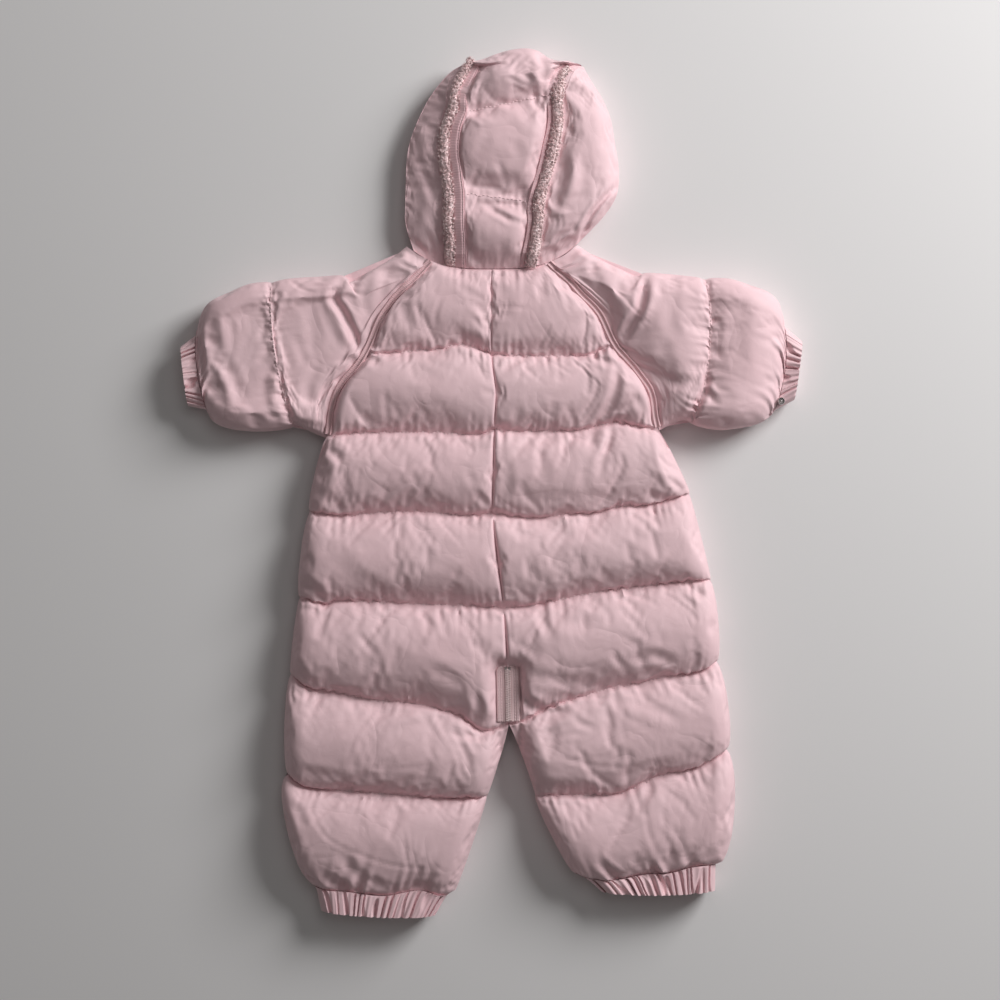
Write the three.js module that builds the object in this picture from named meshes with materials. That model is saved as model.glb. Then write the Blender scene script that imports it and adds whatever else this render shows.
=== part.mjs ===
// A baby's quilted snowsuit, laid flat on its front, so that its back faces up.
// Millimetres. +Z is up, +Y points to the hood, +X to the right as seen from above.
// The upper layer (back) lies on the under layer (front) at the plane z = MID.
import * as THREE from 'three';

// Heights and thicknesses
const MID = 14;
const GAP = 0.3;
const HEM = 1.6;
const SEAM_HIGH = 5;
const HOOD_SEAM_HIGH = 6;
const HOOD_MARGIN = 4.8;
const UNDER_FULL = MID - GAP / 2;
const UNDER_PRESSED = UNDER_FULL + 2.5;
const UNDER_LINE = 11.2;
const UNDER_SEAM = 9.5;
const UNDER_ZIP = 6;
const EDGE_WALL = 2.5;
const SLEEVE_SHIFT = [0.7, 0.1];
const NECK_EASE = 0.5;
const OUTLINE_ROUND = 24;
const SLEEVE_ROUND = 20;
const CUFF_ROUND = 16;
const CUFF_HOLLOW = 4.2;
const HOOD_ROUND = 14;
const HOOD_ROLL = 10;

// Zip
const TAPE_WIDE = 19;
const TAPE_THICK = 1;
const CHAIN_WIDE = 5.6;
const CHAIN_THICK = 2;
const BACK_ZIP_TOP = -150;
const CROTCH_Y = -196.5;
const SLIDER = { y: 150, long: 12, wide: 8.4, low: 3, rail: 1.1, railLow: 1.3 };
const PULL = { long: 28, wide: 8, neck: 5.6, thick: 1.2, axisHigh: 2 };

// Trims
const RAGLAN_TAPE = { wide: 6, thick: 1.4 };
const FLANGE = { near: 0.6, left: 9.4, right: 4.2, thick: 1.8 };
const FUR = { start: 9.8, left: 16.8, right: 9.2, thick: 5.5, wave: 1.3 };
const SNAP = { x: 237, y: 68, radius: 3.2, thick: 1.4, lift: 1.2 };

// Finishes, with each colour as the cloth or metal shows it
const FINISHES = {
  shell: { color: 0xdcc3c6, roughness: 0.55, metalness: 0 },
  tape: { color: 0xd2b0b4, roughness: 0.7, metalness: 0 },
  flange: { color: 0xe3bcc0, roughness: 0.6, metalness: 0 },
  sherpa: { color: 0xd9c6c2, roughness: 0.95, metalness: 0 },
  zip_tape: { color: 0xdcb9bd, roughness: 0.8, metalness: 0 },
  zip_teeth: { color: 0xb79a9c, roughness: 0.45, metalness: 0 },
  metal: { color: 0xb9aaa8, roughness: 0.35, metalness: 1 },
};

// A table with named columns becomes a list of rows.
function table(columns, rows) {
  return rows.map((row) => Object.fromEntries(columns.map((name, i) => [name, row[i]])));
}

// Back and leg, from the neck down to the cuff. Rows alternate between stitched lines and the
// puffs between them. "in" is the centre or inner leg edge, "out" the raglan or side edge.
const BODY = ['inX', 'inY', 'outX', 'outY', 'bow', 'rise', 'inEdge', 'outEdge'];

const BODY_LEFT = table(BODY, [
  [0, 175.3, -50, 182, -2.6, 5, 'seam', 'seam'],
  [0, 140, -87, 142, 2, 17, 'seam', 'seam'],
  [0, 105, -104, 106, 4, 6, 'seam', 'seam'],
  [3.5, 73, -127.5, 73, 0, 20, 'seam', 'seam'],
  [2, 43, -135, 37, 1, 6, 'seam', 'seam'],
  [1.5, 10, -146, 5, 0, 21, 'seam', 'side'],
  [1, -25, -149.5, -24, -1, 6, 'seam', 'side'],
  [5, -64, -157.5, -62, 0, 22, 'seam', 'side'],
  [10, -103, -157.5, -94, 0, 6, 'seam', 'side'],
  [13, -150, -163.5, -128, 0, 22, 'zip', 'side'],
  [14, -198, -165, -157, -2, 6, 'zip', 'side'],
  [6, -230, -170.5, -203, -3, 22, 'side', 'side'],
  [-4, -258.5, -166.5, -240.5, -6, 6, 'side', 'side'],
  [-14.5, -294, -169.5, -280, -4, 21, 'side', 'side'],
  [-29.5, -335, -148, -330, -4, 8, 'side', 'side'],
]);

const BODY_RIGHT = table(BODY, [
  [0, 175.3, 47, 180.8, -2.3, 5, 'seam', 'seam'],
  [0, 140, 85, 143, -1, 17, 'seam', 'seam'],
  [0, 105, 101.5, 113, -4.5, 6, 'seam', 'seam'],
  [3.5, 73, 129, 78, -2, 20, 'seam', 'seam'],
  [2, 43, 137, 43, 0.5, 6, 'seam', 'seam'],
  [1.5, 10, 154, 13, -2, 21, 'seam', 'side'],
  [1, -25, 162.5, -9, -7, 6, 'seam', 'side'],
  [5, -64, 174, -50, -2, 22, 'seam', 'side'],
  [10, -103, 180, -80, 1, 6, 'seam', 'side'],
  [13, -150, 187, -117, 2, 22, 'zip', 'side'],
  [14, -198, 185, -146.5, 4, 6, 'zip', 'side'],
  [25, -224, 195.5, -188, -3, 22, 'side', 'side'],
  [36, -257, 192.5, -219, -12, 6, 'side', 'side'],
  [49, -290, 200, -268, -6, 21, 'side', 'side'],
  [68, -321, 187, -313, -3, 8, 'side', 'side'],
]);

// Sleeve sections from the raglan seam out to the cuff. "top" is the shoulder end of each
// section, "low" the underarm end. "bow" is how far its middle leans towards the cuff.
const SLEEVE = ['topX', 'topY', 'lowX', 'lowY', 'bow', 'rise', 'hug'];

const SLEEVE_LEFT = table(SLEEVE, [
  [-69, 194.4, -135, 37, 0, 5, 1],
  [-81, 185.5, -141, 39, 0, 5, 1],
  [-92, 178.5, -144, 40, 0, 16, 0.85],
  [-103, 172.5, -146, 41, 1, 20, 0.6],
  [-115, 165.5, -148.3, 42, 1, 19, 0.45],
  [-122.5, 170.5, -150.5, 43, 1, 19, 0.3],
  [-141, 169.5, -153.5, 44.5, 3, 21, 0.2],
  [-159, 168.5, -156.5, 46, 5, 20, 0.1],
  [-172, 167, -159, 47, 6, 14, 0],
  [-180, 164.5, -162, 46.5, 6, 7, 0],
  [-187, 165, -170, 44, 4, 14, 0],
  [-201, 163, -187, 42.3, 3, 20, 0],
  [-217, 156, -207, 43.2, 2, 20, 0],
  [-231, 149, -222, 46.5, 2, 16, 0],
  [-239.5, 136, -230.5, 52, 2, 11, 0],
  [-243, 121.5, -234, 59.5, 2.5, 8, 0],
]);

const SLEEVE_RIGHT = table(SLEEVE, [
  [70, 194.8, 137, 43, 0, 5, 1],
  [82, 187.5, 143, 46, 0, 5, 1],
  [93, 181.5, 146, 47.5, 0, 16, 0.85],
  [105, 176, 148.3, 48.5, 1, 20, 0.6],
  [119, 169.8, 150.3, 49.3, 1, 19, 0.45],
  [127, 172.5, 152, 50, 1, 19, 0.3],
  [145, 171.5, 155.5, 51, 4, 21, 0.2],
  [160, 170, 159, 51.3, 6, 20, 0.1],
  [169, 169, 162, 50.5, 8, 14, 0],
  [175.5, 167, 165, 48.7, 8, 7, 0],
  [182, 168.3, 171.5, 46, 6, 14, 0],
  [197, 167.5, 187, 43.5, 4, 20, 0],
  [213, 162.3, 204, 45, 3, 20, 0],
  [228, 156.5, 219, 48.5, 3, 16, 0],
  [237, 146, 227.5, 53, 4, 11, 0],
  [240.5, 129, 232, 58.5, 4.5, 8, 0],
]);

// Hood sections from the neck up to the top of the head. "edge" is the outline, "seam" joins the
// centre piece, "rim" is the face opening under the hood.
const HOOD = table(
  ['leftEdge', 'leftSeam', 'rightSeam', 'rightEdge', 'leftRim', 'rightRim', 'side', 'centre'],
  [
    [[-64, 190.3], [-21, 175.7], [27, 176.2], [66, 192], [-1.2, 175.3], [1.2, 175.3], 6, 6],
    [[-70.5, 212], [-21, 196], [31, 196], [80, 206], [-1.2, 193], [1.2, 193], 17, 20],
    [[-71, 228], [-22, 214], [34, 214], [94, 221], [-10, 202], [12, 202], 21, 20],
    [[-70.5, 246], [-22, 236], [34, 229], [103.5, 238], [-32, 219], [36, 219], 22, 9],
    [[-70, 262], [-24, 254], [42, 257], [104.5, 259], [-42, 243], [58, 245], 22, 22],
    [[-67.5, 279], [-26, 270], [47, 278], [101.5, 279], [-42, 266], [64, 268], 22, 25],
    [[-61, 297], [-24.5, 288], [50, 298], [98, 299], [-37, 284], [61, 287], 21, 22],
    [[-52.5, 314], [-20, 303], [49, 317], [91, 316], [-30, 297], [52, 301], 19, 9],
    [[-43, 327.5], [-19, 318], [52, 328], [84, 327], [-23, 306], [44, 309], 17, 21],
    [[-33, 338], [-14, 330], [56, 337], [79, 335.5], [-17, 311], [38, 313], 14, 24],
    [[-22, 344.5], [-9, 341], [62, 342.5], [76, 341.5], [-12, 314], [33, 316], 10, 19],
  ],
);

// Outline of the hood's top, from its left to its right end.
const HOOD_TOP = [
  [-21.4, 345.3], [-8, 347.5], [2, 351.5], [15, 355.5], [28, 357],
  [38, 355], [46, 349.5], [54, 345.5], [64, 345.4], [74, 343.2],
];

// Cuffs: the seam with the sleeve or leg, from "a" to "b", and the mouth, from "mouthA" to "mouthB".
const CUFFS = table(
  ['name', 'a', 'b', 'seamBow', 'mouthA', 'mouthB', 'mouthBow', 'folds', 'rise'],
  [
    ['cuff_arm_left', [-243.4, 121], [-234.5, 60], [-2.5, 0], [-255.5, 112], [-249.5, 63], [0, 0], 8, 10],
    ['cuff_arm_right', [240.9, 128.5], [232.5, 59], [4.5, 0], [255.5, 116], [249, 68], [0, 0], 8, 10],
    ['cuff_leg_left', [-146, -330.4], [-33, -335.6], [0, -4], [-140, -351.5], [-46, -355.54], [0, -2.5], 14, 12],
    ['cuff_leg_right', [72, -321.4], [184.5, -313.6], [0, -3], [90, -336], [184, -335], [0, -2.5], 14, 12],
  ],
);

// The largest folds of the upper layer, each through three points.
const FOLDS = table(
  ['from', 'by', 'to', 'depth', 'width'],
  [
    [[-121, 168], [-129, 150], [-107, 107], 9, 7],
    [[127, 172], [124, 150], [105, 117], 9, 7],
    [[-172, 92], [-170, 70], [-162, 50], 6, 6],
    [[176, 90], [174, 70], [163, 52], 6, 6],
    [[104, 98], [101, 75], [88, 52], 4, 9],
    [[97, 50], [90, 28], [86, 6], 4, 9],
    [[24, -168], [38, -183], [62, -187], 4, 9],
    [[-158, -80], [-146, -90], [-134, -99], 5, 8],
    [[-110, -78], [-85, -90], [-55, -97], 3, 12],
  ],
);

// The row of the crotch: above it both halves share the centre seam, below it the legs part.
const CROTCH_ROW = 10;
const PUFF_STOPS = [0, 0.05, 0.16, 0.32, 0.5, 0.68, 0.84, 0.95];
const UNDER_STOPS = [0, 0.16, 0.5, 0.84];

const group = new THREE.Group();

// Number helpers
const mix = THREE.MathUtils.lerp;
const clamp = THREE.MathUtils.clamp;
const roundUp = (t) => Math.sqrt(1 - (1 - clamp(t, 0, 1)) ** 2);
const puffAt = (w) => (1 - Math.abs(2 * w - 1) ** 2.4) ** 0.6;

// The neck seam, where the hood joins the body and the sleeves.
const neckY = (x) => 175.3 + 6.7 * (Math.abs(x) / 50) ** 3.26;

// A smooth curve through one pair or triple of columns.
function track(rows, columns) {
  const points = rows.map((row) => new THREE.Vector3(...columns.map((name) => row[name]), 0));
  return new THREE.CatmullRomCurve3(points, false, 'catmullrom', 0.5);
}

// The same for a column that holds [x, y] pairs.
function pairTrack(pairs) {
  const points = pairs.map(([x, y]) => new THREE.Vector3(x, y, 0));
  return new THREE.CatmullRomCurve3(points, false, 'catmullrom', 0.5);
}

// The inner edge of a body half, at a place counted in puffs from the neck.
const centreTrack = track(BODY_LEFT.slice(0, CROTCH_ROW + 1), ['inX', 'inY']);

function innerEdge(rows, place) {
  const crotch = CROTCH_ROW / 2;
  if (place <= crotch) return centreTrack.getPoint(place / crotch);
  const leg = track(rows.slice(CROTCH_ROW), ['inX', 'inY']);
  return leg.getPoint((place - crotch) / ((rows.length - 1) / 2 - crotch));
}

// How deep the folds are at a point of the upper layer.
const foldCurves = FOLDS.map((fold) => {
  const curve = new THREE.QuadraticBezierCurve(
    new THREE.Vector2(...fold.from),
    new THREE.Vector2(...fold.by),
    new THREE.Vector2(...fold.to),
  );
  return { ...fold, points: curve.getPoints(12) };
});

function foldDepth(x, y) {
  let depth = 0;
  for (const fold of foldCurves) {
    fold.points.forEach((point, i) => {
      const away = Math.hypot(x - point.x, y - point.y) / fold.width;
      const along = Math.sin((Math.PI * (i + 0.8)) / (fold.points.length + 0.6));
      depth = Math.max(depth, fold.depth * along * Math.exp(-away * away));
    });
  }
  return depth;
}

// Moves the border of a grid inwards by half the gap that neighbouring pieces keep.
function insetBorder(grid) {
  const lastRow = grid.length - 1;
  const lastColumn = grid[0].length - 1;
  const still = grid.map((row) => row.map((point) => point.clone()));
  grid.forEach((row, i) => row.forEach((point, j) => {
    const rowInside = clamp(i, 1, lastRow - 1);
    const columnInside = clamp(j, 1, lastColumn - 1);
    for (const [k, l] of [[rowInside, j], [i, columnInside]]) {
      const step = new THREE.Vector2(still[k][l].x - still[i][j].x, still[k][l].y - still[i][j].y);
      if (step.length() > 0) {
        step.setLength(GAP / 2);
        point.x += step.x;
        point.y += step.y;
      }
    }
  }));
  return grid;
}

// A geometry from points and triangles, turned so that its faces point out.
function closedBody(points, faces) {
  let volume = 0;
  for (let i = 0; i < faces.length; i += 3) {
    const [a, b, c] = [points[faces[i]], points[faces[i + 1]], points[faces[i + 2]]];
    volume += a.dot(new THREE.Vector3().crossVectors(b, c));
  }
  const order = volume > 0 ? faces : faces.toReversed();
  const geometry = new THREE.BufferGeometry();
  geometry.setAttribute('position', new THREE.Float32BufferAttribute(points.flatMap((p) => [...p]), 3));
  geometry.setIndex(order);
  geometry.computeVertexNormals();
  return geometry;
}

// A cloth wall between an outer and an inner grid. With ring true it closes into a tube.
function wall(outer, inner, ring = false) {
  const rows = outer.length;
  const columns = outer[0].length;
  const spans = ring ? columns : columns - 1;
  const faces = [];
  const at = (layer, i, j) => (layer * rows + i) * columns + (j % columns);
  const quad = (a, b, c, d) => faces.push(a, b, c, a, c, d);
  for (let j = 0; j < spans; j += 1) {
    for (let i = 0; i < rows - 1; i += 1) {
      quad(at(0, i, j), at(0, i, j + 1), at(0, i + 1, j + 1), at(0, i + 1, j));
      quad(at(1, i, j), at(1, i + 1, j), at(1, i + 1, j + 1), at(1, i, j + 1));
    }
    quad(at(0, 0, j), at(1, 0, j), at(1, 0, j + 1), at(0, 0, j + 1));
    quad(at(0, rows - 1, j), at(0, rows - 1, j + 1), at(1, rows - 1, j + 1), at(1, rows - 1, j));
  }
  for (let i = 0; i < rows - 1 && !ring; i += 1) {
    const j = columns - 1;
    quad(at(0, i, 0), at(0, i + 1, 0), at(1, i + 1, 0), at(1, i, 0));
    quad(at(0, i, j), at(1, i, j), at(1, i + 1, j), at(0, i + 1, j));
  }
  return closedBody([...outer.flat(), ...inner.flat()], faces);
}

// A padded panel between a grid and a flat inside at one height. The inside is a ladder from one
// side edge to the other, with a fan to the points of the first and the last row.
function slab(grid, height) {
  const rows = grid.length;
  const lastColumn = grid[0].length - 1;
  const points = grid.flat();
  const faces = [];
  const quad = (a, b, c, d) => faces.push(a, b, c, a, c, d);
  const above = (i, j) => i * (lastColumn + 1) + j;
  const flatPoints = new Map();
  const addFlat = (x, y) => points.push(new THREE.Vector3(x, y, height)) - 1;
  const below = (i, j) => {
    if (!flatPoints.has(above(i, j))) flatPoints.set(above(i, j), addFlat(grid[i][j].x, grid[i][j].y));
    return flatPoints.get(above(i, j));
  };
  const middle = (i) => addFlat(
    (grid[i][0].x + grid[i][lastColumn].x) / 2,
    (grid[i][0].y + grid[i][lastColumn].y) / 2,
  );
  const left = (i) => below(i, 0);
  const right = (i) => below(i, lastColumn);
  for (let i = 0; i < rows - 1; i += 1) {
    for (let j = 0; j < lastColumn; j += 1) {
      quad(above(i, j), above(i, j + 1), above(i + 1, j + 1), above(i + 1, j));
    }
    quad(above(i, 0), above(i + 1, 0), left(i + 1), left(i));
    quad(above(i, lastColumn), right(i), right(i + 1), above(i + 1, lastColumn));
  }
  const [first, last] = [2, rows - 3];
  const [top, bottom] = [middle(first), middle(last)];
  for (let j = 0; j < lastColumn; j += 1) {
    quad(above(0, j), below(0, j), below(0, j + 1), above(0, j + 1));
    quad(above(rows - 1, j), above(rows - 1, j + 1), below(rows - 1, j + 1), below(rows - 1, j));
    faces.push(top, below(0, j + 1), below(0, j));
    faces.push(bottom, below(rows - 1, j), below(rows - 1, j + 1));
  }
  for (let i = 0; i < first; i += 1) {
    faces.push(top, left(i), left(i + 1), top, right(i + 1), right(i));
    faces.push(bottom, left(last + i), left(last + i + 1), bottom, right(last + i + 1), right(last + i));
  }
  faces.push(top, left(first), left(first + 1), top, left(first + 1), right(first + 1));
  faces.push(top, right(first + 1), right(first));
  for (let i = first + 1; i < last - 1; i += 1) quad(left(i), left(i + 1), right(i + 1), right(i));
  faces.push(left(last - 1), left(last), bottom, left(last - 1), bottom, right(last - 1));
  faces.push(right(last - 1), bottom, right(last));
  return closedBody(points, faces);
}

function addPiece(name, geometry, finish) {
  const mesh = new THREE.Mesh(geometry, new THREE.MeshStandardMaterial(FINISHES[finish]));
  mesh.name = name;
  group.add(mesh);
  return mesh;
}

// Edge shapes of the upper layer and the under layer: thickness at the edge, flat margin, rounding.
const UPPER_EDGES = {
  side: { hem: HEM, flat: 0, round: OUTLINE_ROUND },
  seam: { hem: SEAM_HIGH, flat: 6, round: 14 },
  zip: { hem: SEAM_HIGH, flat: 11.5, round: 14 },
};
const UNDER_EDGES = {
  side: { hem: HEM, flat: 0, round: OUTLINE_ROUND },
  seam: { hem: UNDER_SEAM, flat: 6, round: 11 },
  zip: { hem: UNDER_ZIP, flat: 11.5, round: 9 },
};

function mixedEdge(edges, a, b, t) {
  const blend = (key) => mix(edges[a][key], edges[b][key], t);
  return { hem: blend('hem'), flat: blend('flat'), round: blend('round') };
}

// Distances of a panel's columns from its inner edge, with the margins first.
function columnPlaces(width, inEdge, outEdge, middle) {
  const first = Math.max(inEdge.flat, 4.5);
  const last = Math.max(outEdge.flat, 4.5);
  const room = clamp((width - first - last) / 90, 0, 1);
  const ends = [5.5 * room, 15.5 * room];
  const places = [0, first, ...ends.map((d) => first + d)];
  const back = [0, last, ...ends.map((d) => last + d)].map((d) => width - d).reverse();
  for (let k = 1; k <= middle; k += 1) {
    places.push(mix(first + ends[1], width - last - ends[1], k / (middle + 1)));
  }
  return [...places, ...back];
}

// The outer grid of a body panel. layer is "upper" for the back, "under" for the front.
function bodyGrid(rows, layer) {
  const puffs = (rows.length - 1) / 2;
  const upper = layer === 'upper';
  const stops = upper ? PUFF_STOPS : UNDER_STOPS;
  const edges = upper ? UPPER_EDGES : UNDER_EDGES;
  const middle = upper ? 4 : 2;
  const outTrack = track(rows, ['outX', 'outY']);
  const bowTrack = track(rows, ['bow', 'rise']);
  const places = [];
  for (let k = 0; k < puffs; k += 1) places.push(...stops.map((w) => k + w));
  places.push(puffs);
  const grid = places.map((place) => {
    const puff = Math.min(Math.floor(place), puffs - 1);
    const w = place - puff;
    const row = Math.min(Math.floor(place * 2), rows.length - 2);
    const between = place * 2 - row;
    const [from, to] = [innerEdge(rows, place), outTrack.getPoint(place / puffs)];
    const bow = bowTrack.getPoint(place / puffs).x;
    const line = upper ? mix(rows[2 * puff].rise, rows[2 * puff + 2].rise, w) : UNDER_LINE;
    const full = upper ? rows[2 * puff + 1].rise : UNDER_PRESSED;
    const high = mix(line, full, puffAt(w));
    const inName = (name) => (upper || name === 'side' ? name : 'zip');
    const inEdge = mixedEdge(edges, inName(rows[row].inEdge), inName(rows[row + 1].inEdge), between);
    const outEdge = mixedEdge(edges, rows[row].outEdge, rows[row + 1].outEdge, between);
    const width = from.distanceTo(to);
    return columnPlaces(width, inEdge, outEdge, middle).map((d) => {
      const u = d / width;
      const x = mix(from.x, to.x, u);
      const y = place === 0 ? neckY(x) : mix(from.y, to.y, u) + bow * 4 * u * (1 - u);
      const nearIn = roundUp((d - inEdge.flat) / inEdge.round);
      const nearOut = roundUp((width - d - outEdge.flat) / outEdge.round);
      const thick = mix(inEdge.hem, mix(outEdge.hem, high, nearOut), nearIn);
      if (upper) {
        const pressed = thick - foldDepth(x, y) * nearIn * nearOut;
        return new THREE.Vector3(x, y, MID + GAP / 2 + Math.max(pressed, HEM));
      }
      return new THREE.Vector3(x, y, MID - GAP / 2 - Math.min(thick, UNDER_FULL));
    });
  });
  return grid;
}

// The points of a raglan seam, from the neck to the underarm.
function raglanPoints(rows, stops) {
  const puffs = (rows.length - 1) / 2;
  const outTrack = track(rows, ['outX', 'outY']);
  const points = [];
  for (let k = 0; k < 2; k += 1) {
    points.push(...stops.map((w) => outTrack.getPoint((k + w) / puffs)));
  }
  points.push(outTrack.getPoint(2 / puffs));
  return points;
}

// A flattened tube. Each section gives its plan, its heights above and below MID, and its hollow.
function flatTube(sections, round) {
  const outer = [];
  const inner = [];
  for (const section of sections) {
    const { long, upperStops, lowerStops, rise, under, hollow } = section;
    const full = (c, radius) => roundUp((c * long) / radius) * roundUp(((1 - c) * long) / radius);
    const edge = (c) => mix(section.hemTop ?? HEM, section.hemLow ?? HEM, c);
    const inset = EDGE_WALL / long;
    const inside = (c) => mix(inset, 1 - inset, c);
    const outerRow = [];
    const innerRow = [];
    for (const c of upperStops) {
      const [x, y] = section.plan(c);
      const fold = section.folds ? section.folds(c) : -foldDepth(x, y);
      const high = mix(edge(c), rise + fold, full(c, round));
      outerRow.push(new THREE.Vector3(x, y, MID + high));
      const [innerX, innerY] = section.plan(inside(c));
      const lift = mix(GAP / 2, hollow, full(inside(c), round * 0.6));
      innerRow.push(new THREE.Vector3(innerX, innerY, MID + lift));
    }
    for (const c of lowerStops.toReversed()) {
      const [x, y] = section.plan(c);
      const deep = Math.min(mix(edge(c), under, full(c, round)), MID);
      outerRow.push(new THREE.Vector3(x, y, MID - deep));
      const [innerX, innerY] = section.plan(inside(c));
      const drop = mix(GAP / 2, hollow, full(inside(c), round * 0.6));
      innerRow.push(new THREE.Vector3(innerX, innerY, MID - drop));
    }
    outer.push(outerRow);
    inner.push(innerRow);
  }
  return wall(outer, inner, true);
}

// Shares of a polyline's length at each of its points.
function lengthShares(points) {
  const lengths = [0];
  points.slice(1).forEach((point, i) => lengths.push(lengths[i] + point.distanceTo(points[i])));
  return lengths.map((length) => length / lengths.at(-1));
}

// A raglan sleeve: its first section follows the raglan seam and part of the neck.
function sleeve(name, rows, bodyRows) {
  const side = Math.sign(rows[0].topX);
  const neck = [0, 0.5].map((t) => {
    const x = mix(rows[0].topX, bodyRows[0].outX, t);
    return new THREE.Vector3(x, neckY(x) - NECK_EASE, 0);
  });
  const seam = [...neck, ...raglanPoints(bodyRows, PUFF_STOPS)];
  const shares = lengthShares(seam);
  const upperStops = shares;
  const lowerStops = shares.filter((share, i) => i < 2 || UNDER_STOPS.includes(PUFF_STOPS[(i - 2) % 8]));
  const first = (c) => {
    const k = clamp(shares.findIndex((share) => share >= c - 1e-9), 1, shares.length - 1);
    const t = (c - shares[k - 1]) / (shares[k] - shares[k - 1]);
    return seam[k - 1].clone().lerp(seam[k], t);
  };
  const sections = rows.map((row, i) => {
    const slack = (c) => {
      const point = first(c);
      const chord = [mix(rows[0].topX, rows[0].lowX, c), mix(rows[0].topY, rows[0].lowY, c)];
      return [(point.x - chord[0]) * row.hug, (point.y - chord[1]) * row.hug];
    };
    const shift = i === 0 ? SLEEVE_SHIFT : [0, 0];
    return {
      plan: (c) => {
        const [slackX, slackY] = slack(c);
        const bow = side * row.bow * 4 * c * (1 - c);
        const x = mix(row.topX, row.lowX, c) + slackX + bow + side * shift[0];
        return [x, mix(row.topY, row.lowY, c) + slackY + shift[1]];
      },
      long: Math.hypot(row.topX - row.lowX, row.topY - row.lowY),
      upperStops,
      lowerStops,
      rise: row.rise,
      under: mix(UNDER_SEAM, UNDER_PRESSED, clamp((row.rise - 5) / 11, 0, 1)),
      hemLow: mix(SEAM_HIGH, HEM, clamp(i / 3, 0, 1)),
      hollow: GAP / 2,
    };
  });
  addPiece(name, flatTube(sections, SLEEVE_ROUND), 'shell');
}

// A cuff gathered on elastic: folds over the top, lying flat below, open at its mouth.
function cuff(row) {
  const stops = Array.from({ length: 3 * row.folds + 1 }, (_, i) => i / (3 * row.folds));
  const lowerStops = Array.from({ length: row.folds + 1 }, (_, i) => i / row.folds);
  const sections = [0, 0.5, 1].map((t) => {
    const a = [mix(row.a[0], row.mouthA[0], t), mix(row.a[1], row.mouthA[1], t)];
    const b = [mix(row.b[0], row.mouthB[0], t), mix(row.b[1], row.mouthB[1], t)];
    const bow = [mix(row.seamBow[0], row.mouthBow[0], t), mix(row.seamBow[1], row.mouthBow[1], t)];
    const plan = (c) => [0, 1].map((k) => mix(a[k], b[k], c) + bow[k] * 4 * c * (1 - c));
    return {
      plan,
      long: Math.hypot(a[0] - b[0], a[1] - b[1]),
      upperStops: stops,
      lowerStops,
      rise: mix(row.rise - 2, row.rise, t),
      under: mix(UNDER_LINE, UNDER_PRESSED, t),
      hollow: CUFF_HOLLOW,
      folds: (c) => mix(0.8, 1.8, t) * Math.cos(2 * Math.PI * row.folds * c),
    };
  });
  addPiece(row.name, flatTube(sections, CUFF_ROUND), 'shell');
}

// Hood sections with one more row between each two, as smooth curves
const hoodSteps = (HOOD.length - 1) * 2;
const hoodAt = (column, t) => pairTrack(HOOD.map((row) => row[column])).getPoint(t);
const hoodRise = (column, t) => pairTrack(HOOD.map((row) => [row[column], 0])).getPoint(t).x;

// A side of the hood: from its seam with the centre piece over the outline and back under to the rim.
function hoodSide(name, side, marginWide) {
  const outer = [];
  const inner = [];
  for (let i = 0; i <= hoodSteps; i += 1) {
    const t = i / hoodSteps;
    const seam = hoodAt(`${side}Seam`, t);
    const edge = hoodAt(`${side}Edge`, t);
    const rim = hoodAt(`${side}Rim`, t);
    const rise = hoodRise('side', t);
    const wide = seam.distanceTo(edge);
    const deep = edge.distanceTo(rim);
    const margin = Math.min(marginWide, wide - 5);
    const upperPlaces = [0, margin, ...[0.18, 0.42, 0.68, 0.88, 1].map((u) => mix(margin, wide, u))];
    const lowerPlaces = [0, 0.07, 0.22, 0.5, 0.82, 1].map((u) => u * deep);
    const upperEdge = edge.clone().lerp(seam, EDGE_WALL / wide);
    const lowerEdge = edge.clone().lerp(rim, EDGE_WALL / deep);
    const outerRow = [];
    const innerRow = [];
    const place = (point, z) => {
      const y = i === 0 ? neckY(point.x) + GAP : point.y;
      return new THREE.Vector3(point.x, y, z);
    };
    for (const d of upperPlaces) {
      const thick = mix(HOOD_SEAM_HIGH, rise, roundUp((d - margin) / HOOD_ROLL));
      const high = mix(HEM, thick, roundUp((wide - d) / SLEEVE_ROUND));
      outerRow.push(place(seam.clone().lerp(edge, d / wide), MID + GAP / 2 + high));
      innerRow.push(place(seam.clone().lerp(upperEdge, d / wide), MID + GAP / 2));
    }
    for (const d of lowerPlaces) {
      const thick = mix(HEM, i === 0 ? UNDER_SEAM : UNDER_PRESSED, roundUp(d / SLEEVE_ROUND));
      const deepness = mix(SEAM_HIGH, thick, roundUp((deep - d - SEAM_HIGH) / HOOD_ROLL));
      const z = MID - GAP / 2 - Math.min(deepness, UNDER_FULL);
      outerRow.push(place(edge.clone().lerp(rim, d / deep), z));
      innerRow.push(place(lowerEdge.clone().lerp(rim, d / deep), MID - GAP / 2));
    }
    outer.push(outerRow);
    inner.push(innerRow);
  }
  addPiece(name, wall(insetBorder(outer), insetBorder(inner)), 'shell');
}

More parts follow.
